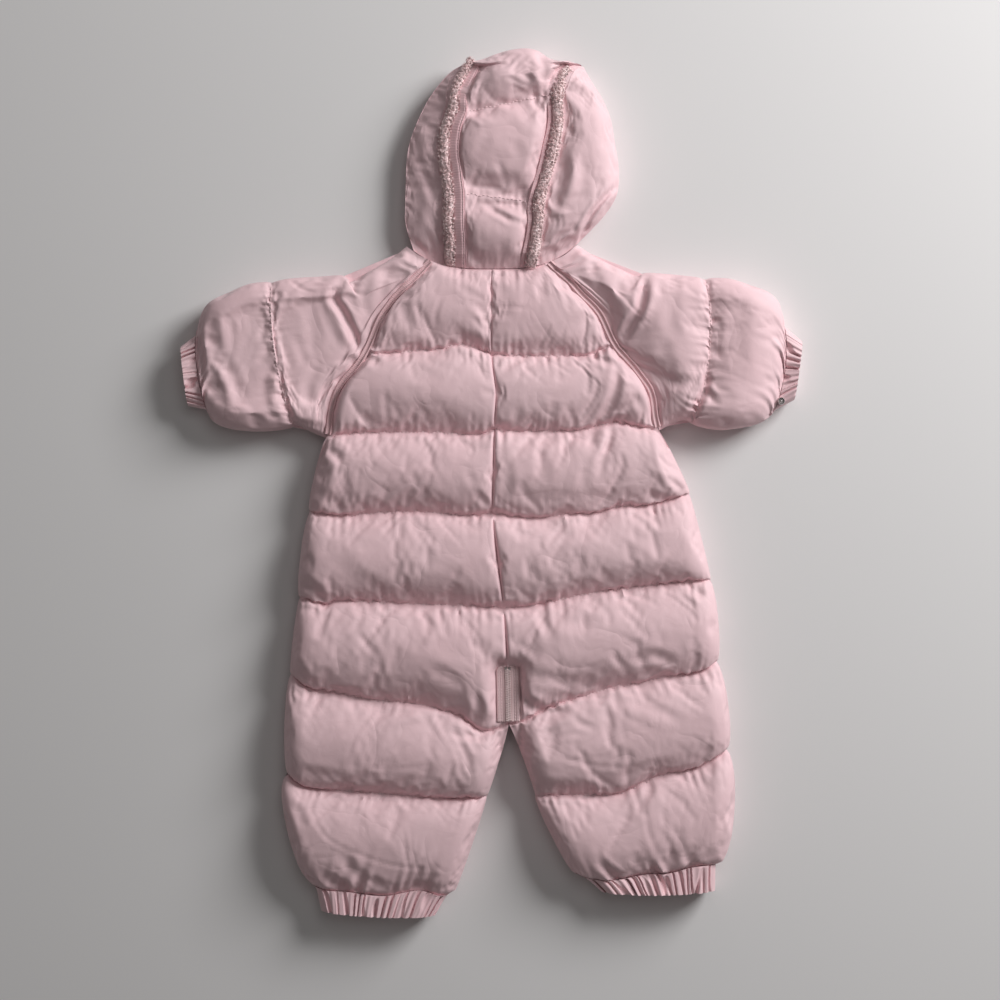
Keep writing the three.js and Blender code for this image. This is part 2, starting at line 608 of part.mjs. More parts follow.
// The centre of the hood: from the neck over the top of the head and back under to the forehead rim.
function hoodCentre(name) {
  const columnsOf = (wide) => {
    const [first, second] = [HOOD_MARGIN / wide, (HOOD_MARGIN + 5) / wide];
    return [0, first, second, 0.35, 0.5, 0.65, 1 - second, 1 - first, 1];
  };
  const top = pairTrack(HOOD_TOP);
  const last = HOOD.at(-1);
  const outer = [];
  const inner = [];
  const addRow = (wide, plan, high, sign, insetShare = 0) => {
    const columns = columnsOf(wide);
    outer.push(columns.map((u) => {
      const [x, y] = plan(u, 0);
      return new THREE.Vector3(x, y, MID + sign * (GAP / 2 + high(u)));
    }));
    inner.push(columns.map((u) => {
      const [x, y] = plan(u, insetShare);
      return new THREE.Vector3(x, y, MID + sign * (GAP / 2));
    }));
  };
  for (let i = 0; i <= hoodSteps; i += 1) {
    const t = i / hoodSteps;
    const left = hoodAt('leftSeam', t);
    const right = hoodAt('rightSeam', t);
    const wide = left.distanceTo(right);
    const rise = hoodRise('centre', t);
    const plan = (u) => {
      const x = mix(left.x, right.x, u);
      return [x, i === 0 ? neckY(x) + GAP : mix(left.y, right.y, u)];
    };
    const high = (u) => {
      const near = roundUp((Math.min(u, 1 - u) * wide - HOOD_MARGIN) / HOOD_ROUND);
      return mix(HOOD_SEAM_HIGH, rise, near);
    };
    addRow(wide, plan, high, 1);
  }
  const lastWide = last.rightSeam[0] - last.leftSeam[0];
  const topAt = (u) => top.getPoint(u);
  for (const t of [0.35, 0.7, 0.9, 1]) {
    const plan = (u, inset) => {
      const s = t - inset;
      return [
        mix(mix(last.leftSeam[0], last.rightSeam[0], u), topAt(u).x, s),
        mix(mix(last.leftSeam[1], last.rightSeam[1], u), topAt(u).y, s),
      ];
    };
    const crown = (u) => mix(HOOD_SEAM_HIGH, last.centre, roundUp(Math.min(u, 1 - u) * 5));
    const high = (u) => mix(HEM, crown(u), roundUp(1 - t));
    addRow(lastWide, plan, high, 1, t === 1 ? 0.16 : 0);
  }
  for (const t of [0, 0.1, 0.3, 0.65, 1]) {
    const plan = (u, inset) => {
      const s = t + inset;
      return [
        mix(topAt(u).x, mix(last.leftRim[0], last.rightRim[0], u), s),
        mix(topAt(u).y, mix(last.leftRim[1], last.rightRim[1], u), s),
      ];
    };
    const full = Math.min(UNDER_PRESSED * roundUp(t * 2), UNDER_FULL);
    const high = () => (t === 1 ? SEAM_HIGH : Math.max(full, HEM));
    addRow(lastWide, plan, high, -1, t === 0 ? 0.07 : 0);
  }
  addPiece(name, wall(insetBorder(outer), insetBorder(inner)), 'shell');
}

// A strip along a line of points, between two distances to the line's left.
function strip(line, near, far, shape, thickAt) {
  const columns = shape.map(([u]) => u);
  const outer = [];
  const inner = [];
  line.forEach((point, i) => {
    const before = line[Math.max(i - 1, 0)];
    const after = line[Math.min(i + 1, line.length - 1)];
    const along = new THREE.Vector2(after.x - before.x, after.y - before.y).normalize();
    const place = (u, z) => {
      const d = mix(near(i), far(i), u);
      return new THREE.Vector3(point.x - along.y * d, point.y + along.x * d, z);
    };
    outer.push(shape.map(([u, share]) => place(u, point.z + share * thickAt(i, u))));
    inner.push(columns.map((u) => place(u, point.z)));
  });
  return wall(outer, inner);
}

const FLAT_BAND = [[0, 0.6], [0.15, 1], [0.85, 1], [1, 0.6]];
const ROUND_BAND = [[0, 0.3], [0.15, 0.8], [0.5, 1], [0.85, 0.8], [1, 0.3]];

// Body panels
for (const [side, rows] of [['left', BODY_LEFT], ['right', BODY_RIGHT]]) {
  addPiece(`back_${side}`, slab(insetBorder(bodyGrid(rows, 'upper')), MID + GAP / 2), 'shell');
  addPiece(`front_${side}`, slab(insetBorder(bodyGrid(rows, 'under')), MID - GAP / 2), 'shell');
}

// Sleeves and cuffs
sleeve('sleeve_left', SLEEVE_LEFT, BODY_LEFT);
sleeve('sleeve_right', SLEEVE_RIGHT, BODY_RIGHT);
CUFFS.forEach(cuff);

// Hood
hoodCentre('hood_centre');
hoodSide('hood_side_left', 'left', 19);
hoodSide('hood_side_right', 'right', 12);

// Hood trims, along the two seams
for (const side of ['left', 'right']) {
  const line = Array.from({ length: 17 }, (_, i) => {
    const point = hoodAt(`${side}Seam`, mix(0.02, 0.97, i / 16));
    point.z = MID + GAP / 2 + HOOD_SEAM_HIGH + GAP;
    return point;
  });
  const onLeft = side === 'left';
  const flangeLine = onLeft ? line : line.slice(0, 14);
  const flange = strip(flangeLine, () => FLANGE.near, () => FLANGE[side], FLAT_BAND, () => FLANGE.thick);
  addPiece(`hood_flange_${side}`, flange, 'flange');
  const furLine = onLeft ? line.slice(0, 14) : line;
  const furNear = () => (onLeft ? FUR.start : -FLANGE.near);
  const furFar = (i) => (onLeft ? FUR.left : -FUR.right) + 0.6 * Math.sin(i * 2.1);
  const pile = (i, u) => FUR.thick + FUR.wave * Math.sin(i * 1.9 + 4 * u);
  addPiece(`hood_fur_${side}`, strip(furLine, furNear, furFar, ROUND_BAND, pile), 'sherpa');
}

// Tapes over the raglan seams
for (const [side, rows] of [['left', BODY_LEFT], ['right', BODY_RIGHT]]) {
  const line = raglanPoints(rows, PUFF_STOPS).slice(1, -1);
  line.forEach((point) => {
    point.z = MID + GAP / 2 + SEAM_HIGH + GAP;
  });
  const half = RAGLAN_TAPE.wide / 2;
  const band = strip(line, () => -half, () => half, FLAT_BAND, () => RAGLAN_TAPE.thick);
  addPiece(`raglan_tape_${side}`, band, 'tape');
}

// The zip follows the centre of the body, on the back only near the crotch.
function centreLine(from, to, steps, high) {
  const points = centreTrack.getPoints(200);
  return Array.from({ length: steps + 1 }, (_, i) => {
    const y = mix(from, to, i / steps);
    const k = clamp(points.findIndex((point) => point.y <= y), 1, points.length - 1);
    const t = clamp((y - points[k - 1].y) / (points[k].y - points[k - 1].y), 0, 1);
    return new THREE.Vector3(mix(points[k - 1].x, points[k].x, t), y, high);
  });
}

const backTapeLow = MID + GAP / 2 + SEAM_HIGH + GAP;
const tapeHalf = TAPE_WIDE / 2;
const backTapeLine = centreLine(BACK_ZIP_TOP, CROTCH_Y, 10, backTapeLow);
const tapeHalfAt = (i) => (i < 2 ? tapeHalf * Math.sqrt(1 - (1 - (i + 0.5) / 2.6) ** 2) : tapeHalf);
const backTape = strip(backTapeLine, (i) => -tapeHalfAt(i), tapeHalfAt, FLAT_BAND, () => TAPE_THICK);
addPiece('zip_tape_back', backTape, 'zip_tape');

const chainHalf = () => CHAIN_WIDE / 2;
const backChainLine = centreLine(BACK_ZIP_TOP - 3, CROTCH_Y, 8, backTapeLow + TAPE_THICK + GAP);
const backChain = strip(backChainLine, () => -chainHalf(), chainHalf, ROUND_BAND, () => CHAIN_THICK);
addPiece('zip_chain_back', backChain, 'zip_teeth');

const frontTapeHigh = MID - GAP / 2 - UNDER_ZIP - GAP;
const frontTapeLine = centreLine(CROTCH_Y, neckY(0) - 2, 16, frontTapeHigh);
const frontTape = strip(frontTapeLine, () => -tapeHalf, () => tapeHalf, FLAT_BAND, () => -TAPE_THICK);
addPiece('zip_tape_front', frontTape, 'zip_tape');

const frontChainHigh = frontTapeHigh - TAPE_THICK - GAP;
const chainTop = SLIDER.y - SLIDER.long / 2 - GAP;
const frontChainLine = centreLine(CROTCH_Y, chainTop, 15, frontChainHigh);
const frontChain = strip(frontChainLine, () => -chainHalf(), chainHalf, ROUND_BAND, () => -CHAIN_THICK);
addPiece('zip_chain_front', frontChain, 'zip_teeth');

// The slider is a block with a rail on each side, and the pull tab turns between the rails.
function slider(name) {
  const half = SLIDER.wide / 2;
  const outline = [
    [-half, frontChainHigh], [-half, SLIDER.railLow], [-half + SLIDER.rail, SLIDER.railLow],
    [-half + SLIDER.rail, SLIDER.low], [half - SLIDER.rail, SLIDER.low],
    [half - SLIDER.rail, SLIDER.railLow], [half, SLIDER.railLow], [half, frontChainHigh],
  ];
  const shape = new THREE.Shape(outline.map(([x, z]) => new THREE.Vector2(x, z)));
  const geometry = new THREE.ExtrudeGeometry(shape, { depth: SLIDER.long, bevelEnabled: false });
  geometry.rotateX(Math.PI / 2);
  const mesh = addPiece(name, geometry, 'metal');
  mesh.position.set(0, SLIDER.y + SLIDER.long / 2, 0);
}

function pullTab(name) {
  const [half, neck] = [PULL.wide / 2, PULL.neck / 2];
  const shoulder = SLIDER.long / 2 + 1;
  const shape = new THREE.Shape();
  shape.moveTo(-neck, PULL.thick / 2);
  shape.lineTo(-neck, -shoulder);
  shape.lineTo(-half, -shoulder - 3);
  shape.lineTo(-half, half - PULL.long);
  shape.absarc(0, half - PULL.long, half, Math.PI, 2 * Math.PI, false);
  shape.lineTo(half, -shoulder - 3);
  shape.lineTo(neck, -shoulder);
  shape.lineTo(neck, PULL.thick / 2);
  shape.closePath();
  const hole = new THREE.Path();
  hole.absarc(0, half - PULL.long, half / 2, 0, 2 * Math.PI, true);
  shape.holes.push(hole);
  const geometry = new THREE.ExtrudeGeometry(shape, {
    depth: PULL.thick,
    bevelEnabled: false,
    curveSegments: 10,
  });
  const mesh = addPiece(name, geometry, 'metal');
  mesh.position.set(0, SLIDER.y, PULL.axisHigh - PULL.thick / 2);
}

slider('zip_slider');
pullTab('zip_pull');

// The snap sits on the upper face of the right arm cuff, tipped with it.
function snap(name) {
  const { radius, thick } = SNAP;
  const profile = [
    [0, 0], [radius, 0], [radius, thick * 0.5], [radius * 0.75, thick], [0, thick],
  ].map(([r, z]) => new THREE.Vector2(r, z));
  const geometry = new THREE.LatheGeometry(profile, 20);
  geometry.rotateX(Math.PI / 2);
  const carrier = group.getObjectByName('cuff_arm_right');
  const down = new THREE.Vector3(0, 0, -1);
  carrier.updateMatrixWorld();
  const hit = new THREE.Raycaster(new THREE.Vector3(SNAP.x, SNAP.y, 99), down).intersectObject(carrier)[0];
  const mesh = addPiece(name, geometry, 'metal');
  mesh.quaternion.setFromUnitVectors(new THREE.Vector3(0, 0, 1), hit.face.normal);
  mesh.position.copy(hit.point).addScaledVector(hit.face.normal, SNAP.lift);
}

snap('snap_cuff_right');

export default group;
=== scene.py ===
import math

import bpy
import numpy as np
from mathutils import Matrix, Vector


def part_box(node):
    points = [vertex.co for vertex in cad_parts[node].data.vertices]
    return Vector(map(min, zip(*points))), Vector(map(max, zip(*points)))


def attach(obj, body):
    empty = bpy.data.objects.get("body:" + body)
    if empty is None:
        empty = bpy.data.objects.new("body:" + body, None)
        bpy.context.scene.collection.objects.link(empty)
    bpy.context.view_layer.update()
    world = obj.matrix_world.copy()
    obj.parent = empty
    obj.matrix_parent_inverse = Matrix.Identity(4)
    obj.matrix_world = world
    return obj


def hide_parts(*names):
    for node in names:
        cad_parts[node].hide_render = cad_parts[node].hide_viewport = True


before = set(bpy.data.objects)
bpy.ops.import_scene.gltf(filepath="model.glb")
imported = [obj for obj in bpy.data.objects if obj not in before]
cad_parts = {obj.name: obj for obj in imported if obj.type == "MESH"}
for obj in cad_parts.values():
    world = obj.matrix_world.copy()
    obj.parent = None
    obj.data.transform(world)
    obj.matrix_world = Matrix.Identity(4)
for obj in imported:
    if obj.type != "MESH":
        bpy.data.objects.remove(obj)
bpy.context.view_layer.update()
print("frame loaded,", len(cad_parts), "solids")

mm = 0.001
# heights in mm: the two layers of the suit lie on each other at middle
# under: thickness of the lower layer, at its seams and at the neck; least: of padding over the middle
stack = {
    "middle": 14.0, "gap": 0.15, "hem": 1.6, "seamHigh": 5.0, "under": 16.35, "underSeam": 11.2,
    "underNeck": 9.5, "least": 1.2,
}


# the camera looks straight down, as wide as the photograph at the height of the cloth
photo = {"centre": (7.0, -14.35), "wide": 820.0, "high": 22.0, "lens": 85.0, "sensor": 36.0}


def makeCamera():
    data = bpy.data.cameras.new("camera")
    data.lens = photo["lens"]
    data.sensor_width = photo["sensor"]
    camera = bpy.data.objects.new("camera", data)
    away = photo["wide"] * photo["lens"] / photo["sensor"]
    camera.location = (photo["centre"][0] * mm, photo["centre"][1] * mm, (away + photo["high"]) * mm)
    bpy.context.scene.collection.objects.link(camera)
    bpy.context.scene.camera = camera


makeCamera()


# small numeric helpers
def mix(a, b, t):
    return a + (b - a) * t


def clip01(t):
    return np.clip(t, 0.0, 1.0)


def roundUp(t):
    return np.sqrt(1 - (1 - clip01(t)) ** 2)


def puffShape(w, flat=2.4, steep=0.6):
    return np.clip(1 - np.abs(2 * w - 1) ** flat, 0, 1) ** steep


# smooth curve through the points, t from 0 to 1 with even shares for each stretch
def curveAt(points, t):
    p = np.asarray(points, float)
    if p.ndim == 1:
        p = p[:, None]
    p = np.vstack([2 * p[0] - p[1], p, 2 * p[-1] - p[-2]])
    count = len(p) - 3
    s = clip01(np.asarray(t, float)) * count
    k = np.minimum(s.astype(int), count - 1)
    w = (s - k)[..., None]
    a, b, c, d = p[k], p[k + 1], p[k + 2], p[k + 3]
    inSlope, outSlope = (c - a) / 2, (d - b) / 2
    square = 3 * (c - b) - 2 * inSlope - outSlope
    cube = 2 * (b - c) + inSlope + outSlope
    return b + inSlope * w + square * w**2 + cube * w**3


def shares(path):
    steps = np.r_[0, np.cumsum(np.linalg.norm(np.diff(path, axis=0), axis=1))]
    return steps / steps[-1]


def lengthOf(path):
    return float(np.linalg.norm(np.diff(np.asarray(path, float), axis=0), axis=1).sum())


# point at a share of a path's length
def along(path, u):
    path = np.asarray(path, float)
    s = shares(path)
    return np.stack([np.interp(u, s, path[:, k]) for k in range(path.shape[1])], axis=-1)


def smoothPath(points, fine=14):
    return curveAt(points, np.linspace(0, 1, fine * (len(points) - 1) + 1))


# irregular wave along a length in mm, made of a few seeded lengths
def wavy(s, seed, short, long, count=9):
    rng = np.random.default_rng(seed)
    lengths = rng.uniform(short, long, count)
    phases = rng.uniform(0, 2 * math.pi, count)
    total = sum(np.sin(2 * math.pi * s / lengths[i] + phases[i]) for i in range(count))
    return total / math.sqrt(count / 2)


# one more point between each two of a grid, along both ways, on a smooth curve
def finer(grid):
    for axis in (0, 1):
        g = np.swapaxes(grid, 0, axis)
        before = np.concatenate([2 * g[:1] - g[1:2], g[:-2]])
        after = np.concatenate([g[2:], 2 * g[-1:] - g[-2:-1]])
        out = np.empty((2 * len(g) - 1,) + g.shape[1:])
        out[0::2] = g
        out[1::2] = (9 * (g[:-1] + g[1:]) - before - after) / 16
        grid = np.swapaxes(out, 0, axis)
    return grid


# length along each line of a grid, seen from above
def wayAlong(grid, axis):
    steps = np.linalg.norm(np.diff(grid[..., :2], axis=axis), axis=2)
    start = np.zeros_like(steps[:, :1] if axis else steps[:1])
    return np.concatenate([start, np.cumsum(steps, axis=axis)], axis=axis)


# direction of a path at each point, and the direction to its left
def headingsOf(path):
    tangent = np.gradient(path, axis=0)
    tangent /= np.linalg.norm(tangent, axis=1, keepdims=True)
    return tangent, np.column_stack([-tangent[:, 1], tangent[:, 0]])


# neck seam, between the hood and the body
def neckY(x):
    return 175.3 + 6.7 * (np.abs(x) / 50) ** 3.26


# meshes
def makeObject(name, points, faces, material, smoothAngle=50):
    mesh = bpy.data.meshes.new(name)
    mesh.from_pydata((np.asarray(points) * mm).tolist(), [], faces)
    mesh.polygons.foreach_set("use_smooth", [True] * len(mesh.polygons))
    mesh.set_sharp_from_angle(angle=math.radians(smoothAngle))
    mesh.materials.append(material)
    mesh.update()
    made = bpy.data.objects.new(name, mesh)
    bpy.context.scene.collection.objects.link(made)
    return made


# the piece rides on the suit, in place of its solid
def sewOn(made, solid):
    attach(made, "suit")
    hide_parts(solid)


def areaOf(made):
    return sum(face.area for face in made.data.polygons)


def tellArea(made):
    print(made.name, "shows", round(areaOf(made) / 2 * 1e6), "mm2")


def gridFaces(rows, columns, start=0, ring=False, flip=False):
    spans = columns if ring else columns - 1
    i, j = np.meshgrid(np.arange(rows - 1), np.arange(spans), indexing="ij")
    k = (j + 1) % columns
    a, b, c, d = i * columns + j, i * columns + k, (i + 1) * columns + k, (i + 1) * columns + j
    quads = np.stack([a, b, c, d], axis=-1).reshape(-1, 4) + start
    return (quads[:, ::-1] if flip else quads).tolist()


def borderLoop(rows, columns):
    top = list(range(columns))
    right = [i * columns + columns - 1 for i in range(1, rows)]
    low = [(rows - 1) * columns + j for j in range(columns - 2, -1, -1)]
    left = [i * columns for i in range(rows - 2, 0, -1)]
    return top + right + low + left


def volumeOf(points, faces):
    total = 0.0
    for face in faces:
        p = points[face]
        for k in range(1, len(face) - 1):
            total += float(np.dot(p[0], np.cross(p[k], p[k + 1])))
    return total / 6


# a padded panel: its outer grid over one flat face at a height
def slabMesh(grid, height):
    rows, columns = grid.shape[:2]
    points = grid.reshape(-1, 3)
    loop = borderLoop(rows, columns)
    base = points[loop].copy()
    base[:, 2] = height
    start = len(points)
    faces = gridFaces(rows, columns)
    count = len(loop)
    for n in range(count):
        m = (n + 1) % count
        faces.append([loop[m], loop[n], start + n, start + m])
    faces.append([start + n for n in range(count)])
    points = np.vstack([points, base])
    turn = np.cross(grid[0, 1] - grid[0, 0], grid[1, 0] - grid[0, 0])[2]
    if (turn < 0) == (grid[..., 2].mean() > height):
        faces = [face[::-1] for face in faces]
    return points, faces


# a wall between an outer and an inner grid; the inner one may have fewer rows
def wallMesh(outer, inner, ring=False):
    rows, columns = outer.shape[:2]
    inRows = inner.shape[0]
    points = np.vstack([outer.reshape(-1, 3), inner.reshape(-1, 3)])
    start = rows * columns
    faces = gridFaces(rows, columns, 0, ring) + gridFaces(inRows, columns, start, ring, True)
    for j in range(columns if ring else columns - 1):
        k = (j + 1) % columns
        faces.append([k, j, start + j, start + k])
        last, inLast = (rows - 1) * columns, start + (inRows - 1) * columns
        faces.append([last + j, last + k, inLast + k, inLast + j])
    if not ring:
        for i in range(rows - 1):
            j = columns - 1
            here, below = i * columns, (i + 1) * columns
            faces.append([here, below, start + below, start + here])
            faces.append([here + j, start + here + j, start + below + j, below + j])
    if volumeOf(points, faces) < 0:
        faces = [face[::-1] for face in faces]
    return points, faces


# the cloth is let out over the wadding: pressure pushes it up between its pinned seams,
# and the spare cloth buckles into puckers and folds
inflation = {
    "pressure": 5.0, "frames": 14, "spare": 0.015, "spareAtSeams": 0.1, "cap": 4.5, "quality": 5,
    "mass": 0.12, "bending": 0.06,
}


def inflate(name, points, faces, pinned, loose, spec=inflation):
    mesh = bpy.data.meshes.new(name)
    mesh.from_pydata((points * mm).tolist(), [], faces)
    mesh.update()
    pad = bpy.data.objects.new(name, mesh)
    bpy.context.scene.collection.objects.link(pad)
    group = pad.vertex_groups.new(name="pinned")
    group.add([int(i) for i in np.flatnonzero(pinned)], 1.0, "REPLACE")
    slack = pad.vertex_groups.new(name="loose")
    for i in np.flatnonzero(loose > 0.02):
        slack.add([int(i)], float(loose[i]), "REPLACE")
    cloth = pad.modifiers.new("cloth", "CLOTH")
    settings = cloth.settings
    settings.quality = spec["quality"]
    settings.mass = spec["mass"]
    settings.tension_stiffness = 20
    settings.compression_stiffness = 12
    settings.shear_stiffness = 6
    settings.bending_stiffness = spec["bending"]
    settings.tension_damping = 12
    settings.compression_damping = 12
    settings.shear_damping = 8
    settings.air_damping = 3
    settings.vertex_group_mass = "pinned"
    settings.use_pressure = True
    settings.uniform_pressure_force = spec["pressure"]
    settings.shrink_min = -spec["spare"]
    settings.shrink_max = -spec["spareAtSeams"]
    settings.vertex_group_shrink = "loose"
    settings.effector_weights.gravity = 0
    cloth.collision_settings.use_collision = False
    cloth.point_cache.frame_start = 1
    cloth.point_cache.frame_end = spec["frames"]
    scene = bpy.context.scene
    for step in range(1, spec["frames"] + 1):
        scene.frame_set(step)
    moved = pad.evaluated_get(bpy.context.evaluated_depsgraph_get()).data
    out = np.empty(len(points) * 3)
    moved.vertices.foreach_get("co", out)
    out = out.reshape(-1, 3) / mm
    bpy.data.objects.remove(pad)
    bpy.data.meshes.remove(mesh)
    scene.frame_set(1)
    shift = out - points
    far = np.linalg.norm(shift, axis=1, keepdims=True)
    return points + shift * np.minimum(1, spec["cap"] / np.maximum(far, 1e-9))


# the free part of an outer grid let out over its inner one, then made finer
def relaxedWall(name, outer, inner, free, loose, spec=inflation):
    points, faces = wallMesh(outer, inner)
    held = np.ones(len(points), bool)
    held[: free.size] = ~free.reshape(-1)
    spare = np.zeros(len(points))
    spare[: free.size] = loose.reshape(-1)
    out = inflate(name, points, faces, held, spare, spec)
    return finer(out[: free.size].reshape(outer.shape))


# creases as listed: a trough (depth over 0) or a ridge through its points, in mm
def creaseField(x, y, creases):
    total = np.zeros_like(x)
    for points, depth, width in creases:
        path = smoothPath(points, 10)
        reach = 3 * width
        near = (
            (x > path[:, 0].min() - reach) & (x < path[:, 0].max() + reach)
            & (y > path[:, 1].min() - reach) & (y < path[:, 1].max() + reach)
        )
        if not near.any():
            continue
        px, py = x[near], y[near]
        away = np.hypot(px[:, None] - path[None, :, 0], py[:, None] - path[None, :, 1])
        nearest = away.argmin(axis=1)
        d = away[np.arange(len(px)), nearest] / width
        s = shares(path)[nearest]
        taper = np.clip(np.minimum(s, 1 - s) * 4 + 0.12, 0, 1) ** 0.8
        total[near] -= 0.78 * depth * taper * (np.exp(-d**2) - 0.35 * np.exp(-((d - 1.5) ** 2) / 0.6))
    return total


# small puckers beside a sewn line: far is the distance from it, way the length along it
seamPucker = {"high": 0.8, "fade": 6.0, "short": 4.5, "long": 10.0, "wander": 0.55}
cuffPucker = {"high": 1.7, "fade": 11.0, "short": 8.0, "long": 17.0, "wander": 0.1}
neckPucker = {"high": 0.9, "fade": 8.0, "short": 5.0, "long": 12.0, "wander": 0.0}
hoodPucker = {"high": 0.45, "fade": 5.0, "short": 5.0, "long": 11.0, "wander": 0.4}


def pucker(grid, far, way, seed, size=seamPucker):
    patch = 0.65 + 0.35 * wavy(way, seed + 1, 30, 70, 4)
    wave = wavy(way, seed, size["short"], size["long"]) * patch
    grid[..., 2] += size["high"] * wave * np.exp(-far / size["fade"]) * clip01(far / 1.5)
    grid[..., 1] += size["wander"] * wavy(way, seed + 2, 7, 15) * np.exp(-far / 4)


# finishes
def newMaterial(name, base, rough, sheen=0.0, sheenTint=(1, 1, 1), metallic=0.0, specular=0.5):
    material = bpy.data.materials.new(name)
    material.use_nodes = True
    shader = material.node_tree.nodes["Principled BSDF"]
    shader.inputs["Base Color"].default_value = (*base, 1)
    shader.inputs["Roughness"].default_value = rough
    shader.inputs["Metallic"].default_value = metallic
    shader.inputs["Specular IOR Level"].default_value = specular
    shader.inputs["Sheen Weight"].default_value = sheen
    shader.inputs["Sheen Tint"].default_value = (*sheenTint, 1)
    shader.inputs["Sheen Roughness"].default_value = 0.45
    return material, material.node_tree.nodes, material.node_tree.links, shader


# a node of the material with its values; feeds are the outputs that go into its inputs
def placeNode(nodes, kind, feeds, **values):
    node = nodes.new("ShaderNode" + kind)
    for key, value in values.items():
        if key in node.inputs:
            node.inputs[key].default_value = value
        else:
            setattr(node, key, value)
    for key, output in feeds.items():
        node.id_data.links.new(output, node.inputs[key])
    return node


def bumpNode(nodes, height, strength, distance, under=None):
    feeds = {"Height": height}
    if under:
        feeds["Normal"] = under.outputs["Normal"]
    return placeNode(nodes, "Bump", feeds, Strength=strength, Distance=distance)


# two tones, mixed by a texture
def toneRamp(nodes, factor, dark, bright, stops):
    ramp = placeNode(nodes, "ValToRGB", {"Fac": factor})
    for element, stop, colour in zip(ramp.color_ramp.elements, stops, (dark, bright)):
        element.position = stop
        element.color = (*colour, 1)
    return ramp.outputs["Color"]


def roughRange(nodes, factor, least, most):
    ranged = placeNode(nodes, "MapRange", {"Value": factor})
    ranged.inputs["To Min"].default_value = least
    ranged.inputs["To Max"].default_value = most
    return ranged.outputs["Result"]


# woven cloth: colour clouds, worn and clean patches, crossed threads, fine crumple and old folds
def clothMaterial(name, look):
    tint = look.get("sheenTint", (1, 0.93, 0.94))
    material, nodes, links, shader = newMaterial(
        name, look["base"], look["rough"], look["sheen"], tint, specular=look["specular"]
    )
    place = {"Vector": nodes.new("ShaderNodeTexCoord").outputs["Object"]}
    clouds = placeNode(nodes, "TexNoise", place, Scale=look["cloudScale"], Detail=4.0, Roughness=0.55)
    tones = toneRamp(nodes, clouds.outputs["Fac"], look["deep"], look["base"], (0.32, 0.7))
    links.new(tones, shader.inputs["Base Color"])
    smudge = placeNode(nodes, "TexNoise", place, Scale=look["cloudScale"] * 3, Detail=3.0)
    rough = roughRange(nodes, smudge.outputs["Fac"], look["rough"] - 0.05, look["rough"] + 0.06)
    links.new(rough, shader.inputs["Roughness"])

    warp = placeNode(nodes, "TexWave", place, Scale=look["threads"], Distortion=0.6)
    weft = placeNode(nodes, "TexWave", place, Scale=look["threads"], Distortion=0.6, bands_direction="Y")
    weave = placeNode(nodes, "Math", {0: warp.outputs["Fac"], 1: weft.outputs["Fac"]}, operation="MULTIPLY")
    bump = bumpNode(nodes, weave.outputs["Value"], look["threadBump"], 0.00012)
    crumple = placeNode(
        nodes, "TexNoise", place, Scale=look["crumpleScale"], Detail=5.0, Roughness=0.5, Distortion=0.8
    )
    bump = bumpNode(nodes, crumple.outputs["Fac"], look["crumpleBump"], 0.0012, bump)
    if "crinkleScale" in look:  # thin lines where the cloth has been folded before
        crinkle = placeNode(
            nodes, "TexNoise", place, Scale=look["crinkleScale"], Detail=2.0, Roughness=0.45, Distortion=0.7
        )
        fromMiddle = placeNode(nodes, "Math", {0: crinkle.outputs["Fac"]}, operation="SUBTRACT")
        fromMiddle.inputs[1].default_value = 0.5
        folded = placeNode(nodes, "Math", {0: fromMiddle.outputs["Value"]}, operation="ABSOLUTE")
        bump = bumpNode(nodes, folded.outputs["Value"], look["crinkleBump"], 0.012, bump)
    links.new(bump.outputs["Normal"], shader.inputs["Normal"])
    return material


palePink = clothMaterial("pale pink nylon", {
    "base": (0.86, 0.62, 0.65), "deep": (0.82, 0.575, 0.605), "rough": 0.58, "sheen": 0.2, "specular": 0.28,
    "cloudScale": 14.0, "threads": 900.0, "threadBump": 0.12, "crumpleScale": 90.0, "crumpleBump": 0.25,
    "crinkleScale": 24.0, "crinkleBump": 0.25,
})
cuffPink = clothMaterial("gathered nylon", {
    "base": (0.86, 0.62, 0.645), "deep": (0.80, 0.55, 0.58), "rough": 0.52, "sheen": 0.25, "specular": 0.36,
    "cloudScale": 30.0, "threads": 900.0, "threadBump": 0.12, "crumpleScale": 130.0, "crumpleBump": 0.15,
})
tapePink = clothMaterial("ribbed pink tape", {
    "base": (0.77, 0.53, 0.55), "deep": (0.70, 0.46, 0.48), "rough": 0.72, "sheen": 0.3, "specular": 0.25,
    "cloudScale": 60.0, "threads": 480.0, "threadBump": 0.5, "crumpleScale": 200.0, "crumpleBump": 0.1,
})
threadPink = clothMaterial("sewing thread", {
    "base": (0.88, 0.68, 0.70), "deep": (0.84, 0.62, 0.64), "rough": 0.6, "sheen": 0.2, "specular": 0.4,
    "cloudScale": 80.0, "threads": 1500.0, "threadBump": 0.5, "crumpleScale": 300.0, "crumpleBump": 0.1,
})
# the flange strip is coloured darker than the pale pink nylon round it: this darkening is painted shade
flangeShadePink = clothMaterial("hood flange cloth with painted shade", {
    "base": (0.83, 0.56, 0.59), "deep": (0.76, 0.48, 0.51), "rough": 0.58, "sheen": 0.2, "specular": 0.32,
    "cloudScale": 50.0, "threads": 700.0, "threadBump": 0.3, "crumpleScale": 160.0, "crumpleBump": 0.15,
})
zipPink = clothMaterial("woven zip tape", {
    "base": (0.79, 0.58, 0.59), "deep": (0.73, 0.52, 0.53), "rough": 0.75, "sheen": 0.25, "specular": 0.22,
    "cloudScale": 70.0, "threads": 620.0, "threadBump": 0.6, "crumpleScale": 220.0, "crumpleBump": 0.08,
})
